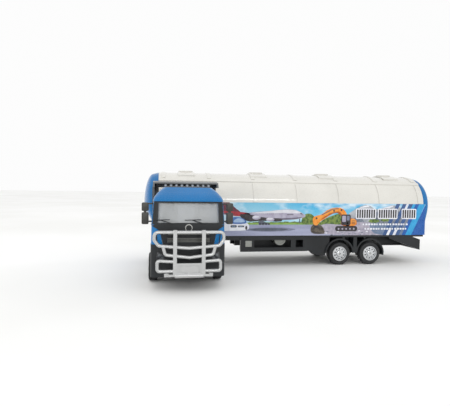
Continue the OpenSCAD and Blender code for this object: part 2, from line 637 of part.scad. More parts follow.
// Tubular guard with flat posts, a plate and the lip under it
module bull_bar() color(silver) {
    translate([0, bar_y, 0]) {
        bent_tube(both_sides([[0, 36.2], [20.4, 36.2], [20.4, 31.6], [17.8, 28.3], [0, 26.8]]),
            2.4, tube_r);
        bent_tube(both_sides([[15.4, 28.1], [14, 23], [0, 21.3]]), 1.8, tube_r);
        for (s = [-1, 1]) sided(s, [1, 0, 0])
            bent_tube([[8.4, 18.9], [18.6, 19.6], [18.6, 13.4], [8.4, 13.4]], 1.6, tube_r);
    }
    for (s = [-1, 1]) {
        sided(s, [1, 0, 0]) box([7.3, bar_y - 1.2, 11], [9.5, bar_y + 1.2, 37.6]);
        sided(s, [1, 0, 0]) box([7.5, bar_y, 28.6], [9.3, cab_y0 - 0.4, 30.6]);
        sided(s, [1, 0, 0]) box([10.4, bar_y + 3, 9.2], [14.6, cab_y0, 11.4]);
        sided(s, [1, 0, 0]) box([8, bar_y, 10], [12, bar_y + 5, 11.4]);
    }
    difference() {
        box([-8, bar_y - 0.8, 11], [8, bar_y + 0.8, 18]);
        difference() {
            box([-6.2, bar_y - 2, 12.1], [6.2, bar_y, 16.9]);
            box([-5.4, bar_y - 3, 12.9], [5.4, bar_y + 1, 16.1]);
        }
    }
    rod([-8.4, bar_y, 10.6], [8.4, bar_y, 10.6], 1.4);
}

// A mirror head in two housings on a pair of arms
module mirror_set(side) color([0.2, 0.2, 0.19]) sided(side, [1, 0, 0]) {
    translate([24.2, cab_y0 + 5.4, 0]) {
        box([0, 0, 47.8], [4.2, 2.4, 53]);
        box([0, 0, 39.7], [4.2, 2.4, 47]);
        box([1.2, 0.4, 46], [2.8, 1.6, 48.6]);
    }
    box([21.48, cab_y0 + 5.8, 51.9], [24.5, cab_y0 + 7, 52.8]);
    box([22.38, cab_y0 + 5.8, 41], [24.5, cab_y0 + 7, 41.9]);
}

// Roof hood open to the front, with fins down the back edges of the cab
module roof_deflector() color([0.22, 0.23, 0.24]) {
    back = cab_y1 + 2.2;
    foot = roof_z + 0.05;
    difference() {
        rotate([90, 0, 90]) translate([0, 0, -22.4]) linear_extrude(44.8)
            polygon([[-60, foot], [-57.5, 66], [-49, 67], [back, 66.2], [back, foot]]);
        rotate([90, 0, 90]) translate([0, 0, -21.2]) linear_extrude(42.4)
            polygon([[-62, 60], [-62, 64.8], [-49, 65.8], [back - 1.4, 65], [back - 1.4, 60]]);
    }
    for (s = [-1, 1]) sided(s, [1, 0, 0]) {
        box([18.6, cab_y1, 19.5], [23.2, back - 0.2, foot + 0.6]);
        box([21.5, cab_y1 - 7, 56], [22.4, cab_y1 + 1, foot + 0.5]);
    }
}

module roof_light_bar() color(silver) {
    foot = roof_z + 0.05;
    box([-15, -70, foot], [15, -68, foot + 0.9]);
    for (k = [-4 : 4]) translate([k * 3.5, -68.6, foot + 1.2]) rotate([90, 0, 0]) difference() {
        cylinder(h = 2.2, r = 0.95);
        translate([0, 0, 1.9]) cylinder(h = 1, r = 0.7);
    }
}

// ---------- nodes ----------

trailer_p = [for (x = bogie_xs) [x, 0, wheel_z]];

at_kingpin() {
    tank_shell();
    end_cap(tank_x0, -1);  // front_cap
    end_cap(tank_x1, 1);  // rear_cap
    side_print(-1);  // side_print_left
    side_print(1);  // side_print_right
    for (i = [0 : hatch_n - 1])
        tank_hatch(i);
    trailer_frame();
    side_locker(-1);  // side_locker_left
    side_locker(1);  // side_locker_right
    locker_fittings();
    mudguard(-1);  // mudguard_left
    mudguard(1);  // mudguard_right
    rear_bumper();
    tail_lamps();
    kingpin();
    frame_screws();

    shaft(front_p, 0);  // front_shaft
    on_axle(front_p, 0, 1) hub();  // front_hub_left
    on_axle(front_p, 0, -1) hub();  // front_hub_right
    on_axle(front_p, 0, 1) tyre();  // front_tyre_left
    on_axle(front_p, 0, -1) tyre();  // front_tyre_right
    shaft(rear_p, 0);  // rear_shaft
    rear_hub(1);  // rear_hub_left
    rear_hub(-1);  // rear_hub_right
    rear_tyres(1);  // rear_tyres_left
    rear_tyres(-1);  // rear_tyres_right
    for (i = [0 : 1]) {
        shaft(trailer_p[i], 90);
        on_axle(trailer_p[i], 90, -1) hub();
        on_axle(trailer_p[i], 90, 1) hub();
        on_axle(trailer_p[i], 90, -1) tyre();
        on_axle(trailer_p[i], 90, 1) tyre();
    }

    tractor_chassis();
    fifth_wheel();
    cab_shell();
    cab_lower();
    cab_glass();
    cab_interior();
    seats();
    steering_wheel();
    wipers();
    front_badge();
    headlamps();
    bull_bar();
    mirror_set(1);  // mirror_left
    mirror_set(-1);  // mirror_right
    roof_deflector();
    roof_light_bar();
    side_skirt(1);  // side_skirt_left
    side_skirt(-1);  // side_skirt_right
    tractor_mudguards();
    cab_screws();
}
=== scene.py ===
"""Looks for the toy tanker truck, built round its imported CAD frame. Lengths are millimetres from the
kingpin axis and the ground until at() or a mesh maker turns them into metres of the row frame."""

import json
import math

import bmesh
import bpy
from mathutils import Matrix, Vector


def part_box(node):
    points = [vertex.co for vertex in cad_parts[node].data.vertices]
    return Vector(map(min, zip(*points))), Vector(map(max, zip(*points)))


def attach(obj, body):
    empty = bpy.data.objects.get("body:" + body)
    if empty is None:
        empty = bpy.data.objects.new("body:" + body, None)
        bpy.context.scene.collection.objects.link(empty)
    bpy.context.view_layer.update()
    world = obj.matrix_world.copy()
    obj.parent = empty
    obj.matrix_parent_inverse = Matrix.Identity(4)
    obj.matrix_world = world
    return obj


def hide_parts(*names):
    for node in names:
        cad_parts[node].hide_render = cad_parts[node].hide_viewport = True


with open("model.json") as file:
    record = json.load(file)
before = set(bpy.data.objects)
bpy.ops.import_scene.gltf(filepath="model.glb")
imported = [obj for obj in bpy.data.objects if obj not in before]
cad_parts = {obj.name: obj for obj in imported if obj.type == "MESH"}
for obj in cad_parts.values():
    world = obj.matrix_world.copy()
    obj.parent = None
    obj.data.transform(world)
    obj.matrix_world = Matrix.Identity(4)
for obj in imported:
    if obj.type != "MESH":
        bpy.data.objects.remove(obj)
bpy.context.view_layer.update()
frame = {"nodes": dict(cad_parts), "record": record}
MM = 0.001
pin_low, pin_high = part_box("kingpin")
PIN = Vector(((pin_low.x + pin_high.x) / 2, (pin_low.y + pin_high.y) / 2, 0.0))
NODES = frame["nodes"]


def at(x, y, z):
    """A point given in millimetres from the kingpin axis and the ground, in the row frame."""
    return PIN + Vector((x, y, z)) * MM


def local_box(node):
    """A node's low and high corner in millimetres from the kingpin axis and the ground."""
    return [tuple(round(c / MM, 3) for c in corner - PIN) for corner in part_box(node)]


def middle(node):
    """The middle of a node's box in millimetres."""
    return [round((low + high) / 2, 3) for low, high in zip(*local_box(node))]


# ---------------------------------------------------------------- materials

# Sockets of Blender's Mix node when it mixes colours.
MIX_FACTOR, MIX_FIRST, MIX_SECOND, MIX_RESULT = 0, 6, 7, 2

# Grains are in spots per millimetre, and edges are the noise values between which a look changes over.
CLOUD_GRAIN, CLOUD_EDGES = 0.05, (0.35, 0.65)
SPECK_GRAIN, SPECK_EDGES = 0.9, (0.66, 0.78)
SKIN_EDGES = (0.3, 0.7)
GLOSS_DRIFT = 0.18


def srgb(r, g, b):
    """A colour of 0 to 255 as linear RGBA, by the curve of the sRGB standard."""
    shares = (r / 255, g / 255, b / 255)
    return tuple(c / 12.92 if c <= 0.04045 else ((c + 0.055) / 1.055) ** 2.4 for c in shares) + (1.0,)


class Nodes:
    """A small hand for building a node tree around one Principled shader."""

    def __init__(self, name):
        self.mat = bpy.data.materials.new(name)
        self.mat.use_nodes = True
        self.tree = self.mat.node_tree
        self.bsdf = self.tree.nodes["Principled BSDF"]
        self.coords = self.tree.nodes.new("ShaderNodeTexCoord").outputs["Object"]

    def set(self, **values):
        """Constants on the shader's own sockets, with _ for each space in a socket's name."""
        for key, value in values.items():
            self.bsdf.inputs[key.replace("_", " ")].default_value = value

    def plug(self, value, socket):
        """Links an output to a socket, or sets a constant there."""
        if isinstance(value, bpy.types.NodeSocket):
            self.tree.links.new(value, socket)
        else:
            socket.default_value = value

    def add(self, kind, **inputs):
        """A node of this kind with each named input linked or set."""
        node = self.tree.nodes.new(kind)
        for key, value in inputs.items():
            self.plug(value, node.inputs[key])
        return node

    def link(self, output, socket):
        """Links an output to one of the shader's own sockets."""
        self.tree.links.new(output, self.bsdf.inputs[socket])

    def noise(self, per_mm, detail, stretch=(1, 1, 1)):
        """Noise whose grain is about one over per_mm millimetres."""
        mapping = self.add("ShaderNodeMapping", Vector=self.coords, Scale=stretch)
        scale = per_mm / MM
        node = self.add("ShaderNodeTexNoise", Vector=mapping.outputs["Vector"], Scale=scale, Detail=detail)
        return node.outputs["Fac"]

    def ramp(self, value, low, high, start=0.0, end=1.0):
        """Goes from start to end while the value goes from low to high."""
        node = self.add("ShaderNodeMapRange", Value=value)
        for key, number in (("From Min", low), ("From Max", high), ("To Min", start), ("To Max", end)):
            node.inputs[key].default_value = number
        return node.outputs["Result"]

    def calc(self, operation, first, second):
        """One sum or product of two values."""
        node = self.tree.nodes.new("ShaderNodeMath")
        node.operation = operation
        self.plug(first, node.inputs[0])
        self.plug(second, node.inputs[1])
        return node.outputs[0]

    def mix(self, factor, first, second):
        """The first colour where the factor is 0 and the second where it is 1."""
        node = self.tree.nodes.new("ShaderNodeMix")
        node.data_type = "RGBA"
        for index, value in ((MIX_FACTOR, factor), (MIX_FIRST, first), (MIX_SECOND, second)):
            self.plug(value, node.inputs[index])
        return node.outputs[MIX_RESULT]

    def bump(self, height, strength, depth_mm):
        """Raises the surface's shading where height is high."""
        node = self.add("ShaderNodeBump", Height=height, Strength=strength, Distance=depth_mm * MM)
        self.link(node.outputs["Normal"], "Normal")


def moulded(name, colour, rough=0.4, vary=0.12, grain=2.5, bump=0.25, depth=0.02, dust=None, **extra):
    """Moulded plastic or enamel: a colour that drifts slightly, uneven gloss and a fine skin texture.
    dust is a colour and how strongly its specks show, and extra holds constants for the shader."""
    n = Nodes(name)
    base = srgb(*colour)
    dark = tuple(c * (1 - vary) for c in base[:3]) + (1.0,)
    light = tuple(min(1.0, c * (1 + vary) + 0.002) for c in base[:3]) + (1.0,)
    shade = n.mix(n.ramp(n.noise(CLOUD_GRAIN, 4), *CLOUD_EDGES), dark, light)
    if dust:
        specks = n.ramp(n.noise(SPECK_GRAIN, 5), *SPECK_EDGES, end=dust[1])
        shade = n.mix(specks, shade, srgb(*dust[0]))
    n.link(shade, "Base Color")
    fine = n.noise(grain, 5)
    gloss = n.ramp(fine, *SKIN_EDGES, rough * (1 - GLOSS_DRIFT), rough * (1 + GLOSS_DRIFT))
    n.link(gloss, "Roughness")
    n.bump(fine, bump, depth)
    n.set(**extra)
    return n.mat


# What the two blues share, and what the lamps share.
PAINT = {
    "vary": 0.07, "grain": 1.0, "bump": 0.04, "depth": 0.01,
    "Specular_IOR_Level": 0.2, "Coat_Roughness": 0.05,
}
CLEAR = {"grain": 1.5, "bump": 0.15, "depth": 0.01}

WHITE = moulded(
    "tank_white", (213, 211, 204), rough=0.3, vary=0.03, grain=1.2, bump=0.04, depth=0.01,
    Coat_Weight=1.0, Coat_Roughness=0.04,
)
CAP_BLUE = moulded("cap_blue", (2, 104, 166), rough=0.28, Coat_Weight=0.35, **PAINT)
CAB_BLUE = moulded("cab_blue", (2, 106, 168), rough=0.26, Coat_Weight=0.5, **PAINT)
BLACK = moulded(
    "black_plastic", (25, 28, 31), vary=0.2, grain=3.0, bump=0.35, dust=((66, 68, 68), 0.12),
    Specular_IOR_Level=0.4,
)
MIRROR = moulded("mirror_black", (50, 49, 45), rough=0.38, vary=0.16, grain=3.0, bump=0.3)
HOOD = moulded("hood_grey", (98, 100, 101), rough=0.36, grain=3.0, bump=0.2)
SKIRT = moulded("skirt_grey", (178, 178, 174), rough=0.36, vary=0.06)
FITTING = moulded("fitting_grey", (150, 152, 146), rough=0.45, vary=0.1)
# The cab's inside glows faintly by emission: painted light standing in for the light that reaches it through
# the windows.
INTERIOR_PAINTED_GLOW = moulded(
    "interior_grey", (232, 232, 228), rough=0.5, vary=0.05, grain=2.0, bump=0.3,
    Emission_Color=srgb(232, 234, 236), Emission_Strength=0.15,
)
# The seats also glow faintly by emission: painted light standing in for the light that reaches them through
# the windows.
SEAT_PAINTED_GLOW = moulded(
    "seat_grey", (150, 152, 154), rough=0.5, vary=0.1, grain=2.0, bump=0.3,
    Emission_Color=srgb(150, 152, 154), Emission_Strength=0.03,
)
SILVER = moulded(
    "silver_plastic", (186, 187, 187), rough=0.24, vary=0.05, grain=4.0, bump=0.03, depth=0.01,
    Metallic=0.7, Coat_Weight=0.5, Coat_Roughness=0.06,
)
HUB = moulded(
    "plated_hub", (206, 208, 210), rough=0.2, vary=0.06, grain=2.0, bump=0.2, depth=0.012, Metallic=0.92
)
STEEL = moulded(
    "steel", (170, 170, 168), rough=0.28, vary=0.06, grain=4.0, bump=0.3, depth=0.012, Metallic=1.0
)
TYRE = moulded(
    "tyre_black", (30, 31, 33), rough=0.6, vary=0.22, grain=4.0, bump=0.5, depth=0.03,
    dust=((78, 77, 74), 0.2),
)
GRILLE = moulded("grille_grey", (98, 99, 95), grain=3.0, bump=0.3)
RED = moulded("lamp_red", (150, 14, 16), rough=0.15, vary=0.1, Coat_Weight=0.5, **CLEAR)
SMOKE = moulded("lamp_smoke", (52, 54, 58), rough=0.16, Coat_Weight=0.5, **CLEAR)
LAMP = moulded(
    "roof_lamp", (96, 100, 104), rough=0.14, vary=0.1, Metallic=0.4, Coat_Weight=0.6, Coat_Roughness=0.05,
    **CLEAR,
)
LENS = moulded(
    "lamp_lens", (158, 163, 168), rough=0.1, vary=0.03, grain=1.5, bump=0.1, depth=0.01,
    Coat_Weight=0.6, Coat_Roughness=0.04,
)
GLASS = moulded(
    "window_clear", (216, 219, 220), rough=0.08, vary=0.03, grain=0.6, bump=0.03, depth=0.01,
    Alpha=0.38, Coat_Weight=0.6, Coat_Roughness=0.04,
)
MIRROR_GLASS = moulded(
    "mirror_glass", (196, 202, 206), rough=0.06, vary=0.02, grain=1.0, bump=0.02, depth=0.01, Metallic=1.0
)
BY_SLOT = {
    "tank_white": WHITE, "cap_blue": CAP_BLUE, "cab_blue": CAB_BLUE, "print_film": CAP_BLUE,
    "black_plastic": BLACK, "mirror_black": MIRROR, "hood_grey": HOOD, "skirt_grey": SKIRT,
    "fitting_grey": FITTING, "interior_grey": INTERIOR_PAINTED_GLOW, "silver_plastic": SILVER, "plated_hub": HUB,
    "steel": STEEL, "tyre_black": TYRE, "window_clear": GLASS, "lamp_red": RED, "lamp_smoke": SMOKE,
}
for part in frame["record"]["subparts"]:
    mesh = NODES[part["node"]].data
    mesh.materials.clear()
    mesh.materials.append(BY_SLOT[part["material_slot"]])

NODES["roof_light_bar"].data.materials[0] = LAMP
NODES["front_badge"].data.materials[0] = STEEL
NODES["seats"].data.materials[0] = SEAT_PAINTED_GLOW


# ---------------------------------------------------------------- mesh makers

BEVEL_ANGLE = math.radians(30)
PLANES = {"x": lambda d, a, b: (d, a, b), "y": lambda d, a, b: (a, d, b), "z": lambda d, a, b: (a, b, d)}


def apply_modifiers(piece):
    """Turns the modifiers of a piece into its mesh."""
    bpy.context.view_layer.update()
    graph = bpy.context.evaluated_depsgraph_get()
    plain = piece.data
    final = bpy.data.meshes.new_from_object(piece.evaluated_get(graph))
    piece.modifiers.clear()
    piece.data = final
    bpy.data.meshes.remove(plain)


def mesh_piece(name, verts, faces, mats, body, smooth=None, bevel=0.0, face_mats=None):
    """A mesh from millimetre points, riding on a body. smooth is the sharp angle in degrees."""
    mesh = bpy.data.meshes.new(name)
    mesh.from_pydata([at(*v) for v in verts], [], faces)
    for mat in mats:
        mesh.materials.append(mat)
    if face_mats:
        for face, index in zip(mesh.polygons, face_mats):
            face.material_index = index
    bm = bmesh.new()
    bm.from_mesh(mesh)
    bmesh.ops.recalc_face_normals(bm, faces=bm.faces)
    bm.to_mesh(mesh)
    bm.free()
    piece = bpy.data.objects.new(name, mesh)
    bpy.context.scene.collection.objects.link(piece)
    if bevel:
        cut = piece.modifiers.new("edge", "BEVEL")
        cut.width = bevel * MM
        cut.segments = 2
        cut.limit_method = "ANGLE"
        cut.angle_limit = BEVEL_ANGLE
        cut.harden_normals = False
        apply_modifiers(piece)
    if smooth:
        piece.data.shade_smooth()
        piece.data.set_sharp_from_angle(angle=math.radians(smooth))
    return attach(piece, body)


def quads_between(n, low, high):
    """Quads between two rings of n points that start at the indices low and high."""
    return [[low + i, low + (i + 1) % n, high + (i + 1) % n, high + i] for i in range(n)]


class Shape:
    """Collects solids into one mesh, each with its own material."""

    def __init__(self):
        self.verts = []
        self.faces = []
        self.mats = []
        self.face_mats = []

    def extend(self, verts, faces, mat):
        """Adds a solid whose faces count its own points from 0."""
        if mat not in self.mats:
            self.mats.append(mat)
        base = len(self.verts)
        self.verts += verts
        self.faces += [[base + i for i in face] for face in faces]
        self.face_mats += [self.mats.index(mat)] * len(faces)

    def prism(self, outline, axis, low, high, mat):
        """An outline in the plane across axis, drawn out from low to high."""
        n, place = len(outline), PLANES[axis]
        verts = [place(low, *p) for p in outline] + [place(high, *p) for p in outline]
        self.extend(verts, [list(range(n)), list(range(n, 2 * n))] + quads_between(n, 0, n), mat)

    def box(self, low, high, mat):
        """A block between its low and high corners."""
        corners = [(low[0], low[1]), (high[0], low[1]), (high[0], high[1]), (low[0], high[1])]
        self.prism(corners, "z", low[2], high[2], mat)

    def turned(self, profile, centre, axis, mat, steps, cut=None):
        """A closed profile of (radius, along) points turned about an axis through centre. cut gives how
        much is taken off the radius of profile point i at step k."""
        n, place = len(profile), PLANES[axis]
        verts = []
        for k in range(steps):
            turn = 2 * math.pi * k / steps
            for i, (radius, along) in enumerate(profile):
                r = radius - (cut(i, k) if cut else 0.0)
                offset = place(along, r * math.cos(turn), r * math.sin(turn))
                verts.append(tuple(c + o for c, o in zip(centre, offset)))
        faces = [quad for k in range(steps) for quad in quads_between(n, k * n, (k + 1) % steps * n)]
        self.extend(verts, faces, mat)

    def piece(self, name, body, smooth=None, bevel=0.0):
        """The collected solids as one piece that rides on a body."""
        return mesh_piece(name, self.verts, self.faces, self.mats, body, smooth, bevel, self.face_mats)


def disc(r, count, centre):
    """A round outline of count points."""
    turns = [2 * math.pi * k / count for k in range(count)]
    return [(centre[0] + r * math.cos(a), centre[1] + r * math.sin(a)) for a in turns]


# ---------------------------------------------------------------- stage

# The floor and lights are in metres and watts.
FLOOR_R, FLOOR_SIDES = 7.0, 96
WORLD_GLOW = 0.98
MIDDLE = (0.0, 0.0, 0.04)
LIGHTS = {
    # name: place, aim, size, power
    "key": ((-0.1, -1.05, 0.365), (-0.1, 0.0, 0.055), (1.0, 0.08), 2.0),
    "top": ((0.0, -0.1, 1.2), MIDDLE, (1.4, 1.2), 1.0),
    "side": ((-0.9, -0.5, 0.5), MIDDLE, (0.5, 0.5), 0.5),
}

# The camera's turn in degrees, its place in millimetres from the kingpin, its lens, and the nearest
# distance that it sees, in metres.
HEADING, PITCH, LEAN = 9.5, 2.0, 0.86
EYE = (-16.0, -316.8, 61.4)
LENS_MM, SENSOR_MM = 30.0, 36.0
NEAREST = 0.01


def build_stage():
    """A wide pale paper floor in an even white surrounding."""
    bpy.ops.mesh.primitive_circle_add(vertices=FLOOR_SIDES, radius=FLOOR_R, fill_type="NGON")
    floor = bpy.context.object
    floor.name = "floor"
    n = Nodes("floor_paper")
    n.link(n.mix(n.ramp(n.noise(0.004, 3), 0.4, 0.6), srgb(243, 243, 241), srgb(249, 249, 248)), "Base Color")
    n.set(Roughness=0.75)
    floor.data.materials.append(n.mat)
    world = bpy.data.worlds.new("studio")
    bpy.context.scene.world = world
    world.use_nodes = True
    background = world.node_tree.nodes["Background"]
    background.inputs["Color"].default_value = (1.0, 1.0, 1.0, 1.0)
    background.inputs["Strength"].default_value = WORLD_GLOW


def build_lights():
    """Rectangular softboxes, each pointed at its aim."""
    for name, (place, aim, size, power) in LIGHTS.items():
        data = bpy.data.lights.new(name, "AREA")
        data.shape = "RECTANGLE"
        data.size, data.size_y = size
        data.energy = power
        light = bpy.data.objects.new(name, data)
        bpy.context.scene.collection.objects.link(light)
        light.location = place
        light.rotation_euler = (Vector(aim) - Vector(place)).to_track_quat("-Z", "Y").to_euler()


def build_camera():
    """The photograph's viewpoint: close, low, almost level and with a slight lean."""
    heading, pitch, lean = math.radians(HEADING), math.radians(PITCH), math.radians(LEAN)
    up = Vector((0, 0, 1))
    ahead = Vector((math.sin(heading), math.cos(heading), 0))
    right = Vector((math.cos(heading), -math.sin(heading), 0))
    look = ahead * math.cos(pitch) - up * math.sin(pitch)
    top = up * math.cos(pitch) + ahead * math.sin(pitch)
    x_axis = right * math.cos(lean) + top * math.sin(lean)
    y_axis = top * math.cos(lean) - right * math.sin(lean)
    camera = bpy.data.objects.new("camera", bpy.data.cameras.new("camera"))
    bpy.context.scene.collection.objects.link(camera)
    camera.data.lens = LENS_MM
    camera.data.sensor_width = SENSOR_MM
    camera.data.clip_start = NEAREST
    pose = Matrix((x_axis, y_axis, -look)).transposed().to_4x4()
    pose.translation = at(*EYE)
    camera.matrix_world = pose
    bpy.context.scene.camera = camera


# ---------------------------------------------------------------- running gear

# A tyre's outer face and width, and the gap between twins.
tyre_low, tyre_high = local_box("front_tyre_left")
TRACK = tyre_high[0]
TYRE_W = round(TRACK - tyre_low[0], 3)
TWIN_GAP = 0.4

# Body, its shaft, the axis along it, and each tyre node with its side of the centre.
AXLES = [
    ("front_wheels", "front_shaft", "x", {"front_tyre_left": 1, "front_tyre_right": -1}),
    ("rear_wheels", "rear_shaft", "x", {"rear_tyres_left": 1, "rear_tyres_right": -1}),
    ("trailer_wheels_1", "trailer_shaft_1", "y", {"trailer_tyre_1_left": -1, "trailer_tyre_1_right": 1}),
    ("trailer_wheels_2", "trailer_shaft_2", "y", {"trailer_tyre_2_left": -1, "trailer_tyre_2_right": 1}),
]

# Half of a tyre's section as (radius, distance from its side): bead, rib, wall, shoulder, a groove and
# half of the middle groove.
HALF_TYRE = [
    (6.3, 0.4), (6.6, 0.35), (7.0, 0.28), (7.1, 0.16), (7.6, 0.1), (8.3, 0.0), (8.45, 0.06), (8.9, 0.24),
    (9.1, 0.42), (9.32, 0.7), (9.4, 1.05), (9.4, 1.5), (9.1, 1.55), (9.1, 1.85), (9.4, 1.9), (9.4, 2.7),
    (9.1, 2.75),
]
TYRE_PROFILE = HALF_TYRE + [(r, TYRE_W - d) for r, d in reversed(HALF_TYRE)]

# The points of the half section that dip between the shoulder blocks.
SHOULDER = (8, 9, 10)
LUGS = 40
STEPS_PER_LUG = 4
LUG_DEPTH = 0.3

# The wheel nuts: their ring and own radius, and how far their foot and head lie inside the tyre's face.
NUTS = 10
NUT_RING = 3.3
NUT_R = 0.34
NUT_INSET = (1.1, 0.45)


def lug_cut(i, k):
    """What the tread loses at profile point i and turning step k: the dips between the shoulder blocks."""
    shoulder = min(i, len(TYRE_PROFILE) - 1 - i) in SHOULDER
    return LUG_DEPTH if shoulder and k % STEPS_PER_LUG == 0 else 0.0


def build_tyres():
    """Treaded tyres, two side by side at each end of the tractor's rear axle."""
    for body, shaft, axis, ends in AXLES:
        twins = (0.0, TYRE_W + TWIN_GAP) if body == "rear_wheels" else (0.0,)
        for node, side in ends.items():
            shape = Shape()
            for inboard in twins:
                inner = TRACK - TYRE_W - inboard
                profile = [(r, side * (inner + d)) for r, d in TYRE_PROFILE]
                shape.turned(profile, middle(shaft), axis, TYRE, LUGS * STEPS_PER_LUG, lug_cut)
            tyre = shape.piece(node + "_moulded", body, smooth=28)
            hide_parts(node)


def build_wheel_nuts():
    """A ring of nuts round each hub's boss."""
    for body, shaft, axis, ends in AXLES:
        x, y, z = middle(shaft)
        along, across = (x, y) if axis == "x" else (y, x)
        for node, side in ends.items():
            low, high = (along + side * (TRACK - inset) for inset in NUT_INSET)
            shape = Shape()
            for k in range(NUTS):
                turn = 2 * math.pi * (k + 0.5) / NUTS
                spot = (across + NUT_RING * math.cos(turn), z + NUT_RING * math.sin(turn))
                shape.prism(disc(NUT_R, 6, spot), axis, low, high, HUB)
            name = node.replace("tyres", "nuts").replace("tyre", "nuts")
            shape.piece(name, body, smooth=30, bevel=0.07)


# ---------------------------------------------------------------- tank

# A cap as the CAD has it: the radius of its arch, the arch's centre, and its height below that.
cap_low, cap_high = local_box("rear_cap")
CAP_R = cap_high[1]
ARCH_Z = round(cap_high[2] - CAP_R, 3)
CAP_DROP = ARCH_Z - cap_low[2]

# Its gap to the shell, how deep its rim and its dome are, how much smaller the dome starts than the rim,
# and how far the foot is drawn in.
CAP_GAP = 0.02
CAP_RIM = 4.0
CAP_BULGE = cap_high[0] - cap_low[0] - CAP_RIM
RIM_TAPER = 0.965
FOOT_DRAW = 2.0

# How finely the dome, its straight sides and its foot are divided.
CAP_RINGS = 22
WALL_STEPS = 10
FOOT_STEPS = 24

# The fine groove round a cap's rim, as (inset, distance from the shell).
GROOVE = [(0.0, 0.35), (0.12, 0.12), (0.12, 0.5), (0.0, 0.75)]


def cap_bulge(u, v):
    """How far the cap's face stands out at u across and v above the arch centre."""
    across = 1 - (u / CAP_R) ** 2 - ((v / CAP_R) ** 2 if v > 0 else 0)
    fade = 1.0 if v >= 0 else (1 + math.cos(math.pi * v / CAP_DROP)) / 2
    foot = 0.0 if v >= 0 else FOOT_DRAW * (1 - math.cos(math.pi * v / CAP_DROP)) / 2
    return CAP_BULGE * math.sqrt(max(0.0, across)) * fade - foot


def cap_outline():
    """A cap's rim as (across, height) about the arch centre: a half circle, straight sides, a flat foot."""
    arch = [math.radians(a) for a in range(0, 181, 4)]
    outline = [(CAP_R * math.cos(a), CAP_R * math.sin(a)) for a in arch]
    outline += [(-CAP_R, -CAP_DROP * k / WALL_STEPS) for k in range(1, WALL_STEPS)]
    outline += [(-CAP_R + 2 * CAP_R * k / FOOT_STEPS, -CAP_DROP) for k in range(FOOT_STEPS + 1)]
    outline += [(CAP_R, -CAP_DROP * (1 - k / WALL_STEPS)) for k in range(1, WALL_STEPS)]
    return outline


def build_cap(node, x0, side):
    """A smooth domed end, grooved round its rim, in rings that shrink to the middle of the dome."""
    outline = cap_outline()
    n = len(outline)
    verts = [(x0 + side * CAP_GAP, u, ARCH_Z + v) for u, v in outline]
    for inset, depth in GROOVE:
        scale = 1 - inset / CAP_R
        x = x0 + side * (CAP_GAP + depth)
        verts += [(x, u * scale, ARCH_Z + v * (scale if v > -CAP_DROP else 1)) for u, v in outline]
    for k in range(CAP_RINGS):
        s = math.cos(math.pi / 2 * k / CAP_RINGS)
        t = s * RIM_TAPER
        for u, v in outline:
            x = x0 + side * (CAP_RIM + cap_bulge(u * s, v * s))
            verts.append((x, u * t, ARCH_Z + v * t))
    tip = len(verts)
    verts.append((x0 + side * (CAP_RIM + CAP_BULGE), 0, ARCH_Z))
    faces = [list(range(n))]
    faces += [quad for low in range(0, tip - n, n) for quad in quads_between(n, low, low + n)]
    faces += [[tip - n + i, tip - n + (i + 1) % n, tip] for i in range(n)]
    cap = mesh_piece(node + "_dome", verts, faces, [CAP_BLUE], "trailer", smooth=42)
    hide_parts(node)


# ---------------------------------------------------------------- printed sides

# The film's ends, foot and head, and the flat side that it lies on.
film_low, film_high = local_box("side_print_right")
PRINT_X = (film_low[0], film_high[0])
PRINT_LOW, PRINT_HIGH = film_low[2], film_high[2]
PRINT_CORNER = 0.5
SIDE_Y = film_low[1]

# The outer faces of film and inks, and how far the inks reach in and stay off the film's ends.
FILM_Y = SIDE_Y + 0.14
INK_Y = SIDE_Y + 0.29
INK_ROOT = 0.06
INK_MARGIN = 0.1
INK_LAYERS = 13

# The heights at which the ground, the verge and the trees blend into what stands above them.
ROAD_EDGE = (33.7, 34.1)
GRASS_EDGE = (35.2, 35.6)
TREE_EDGE = (36.0, 36.3)

# How far the tree line wavers up and down.
LEAF_REACH = 0.7

# Where the road is paler towards its foot, and where the sky deepens from pale to blue.
ROAD_SHEEN = (PRINT_LOW, 31.0)
SKY_X = (60.0, 115.0)

# Sideways lean per millimetre of height, and the steps from letter to letter of the plain bars.
BAND_LEAN = 0.47
TITLE_PITCH = 4.3
LINE_PITCH = 2.5


def ink_gloss(n):
    """The slightly uneven gloss that ink has under a clear film."""
    n.link(n.ramp(n.noise(0.8, 3), 0.3, 0.7, 0.24, 0.34), "Roughness")
    n.set(Coat_Weight=0.1, Specular_IOR_Level=0.3)


def ink(name, colour, other, patch=0.25):
    """Printed ink: two close colours in soft patches."""
    n = Nodes("ink_" + name)
    n.link(n.mix(n.ramp(n.noise(patch, 5), 0.38, 0.62), srgb(*colour), srgb(*other)), "Base Color")
    ink_gloss(n)
    return n.mat


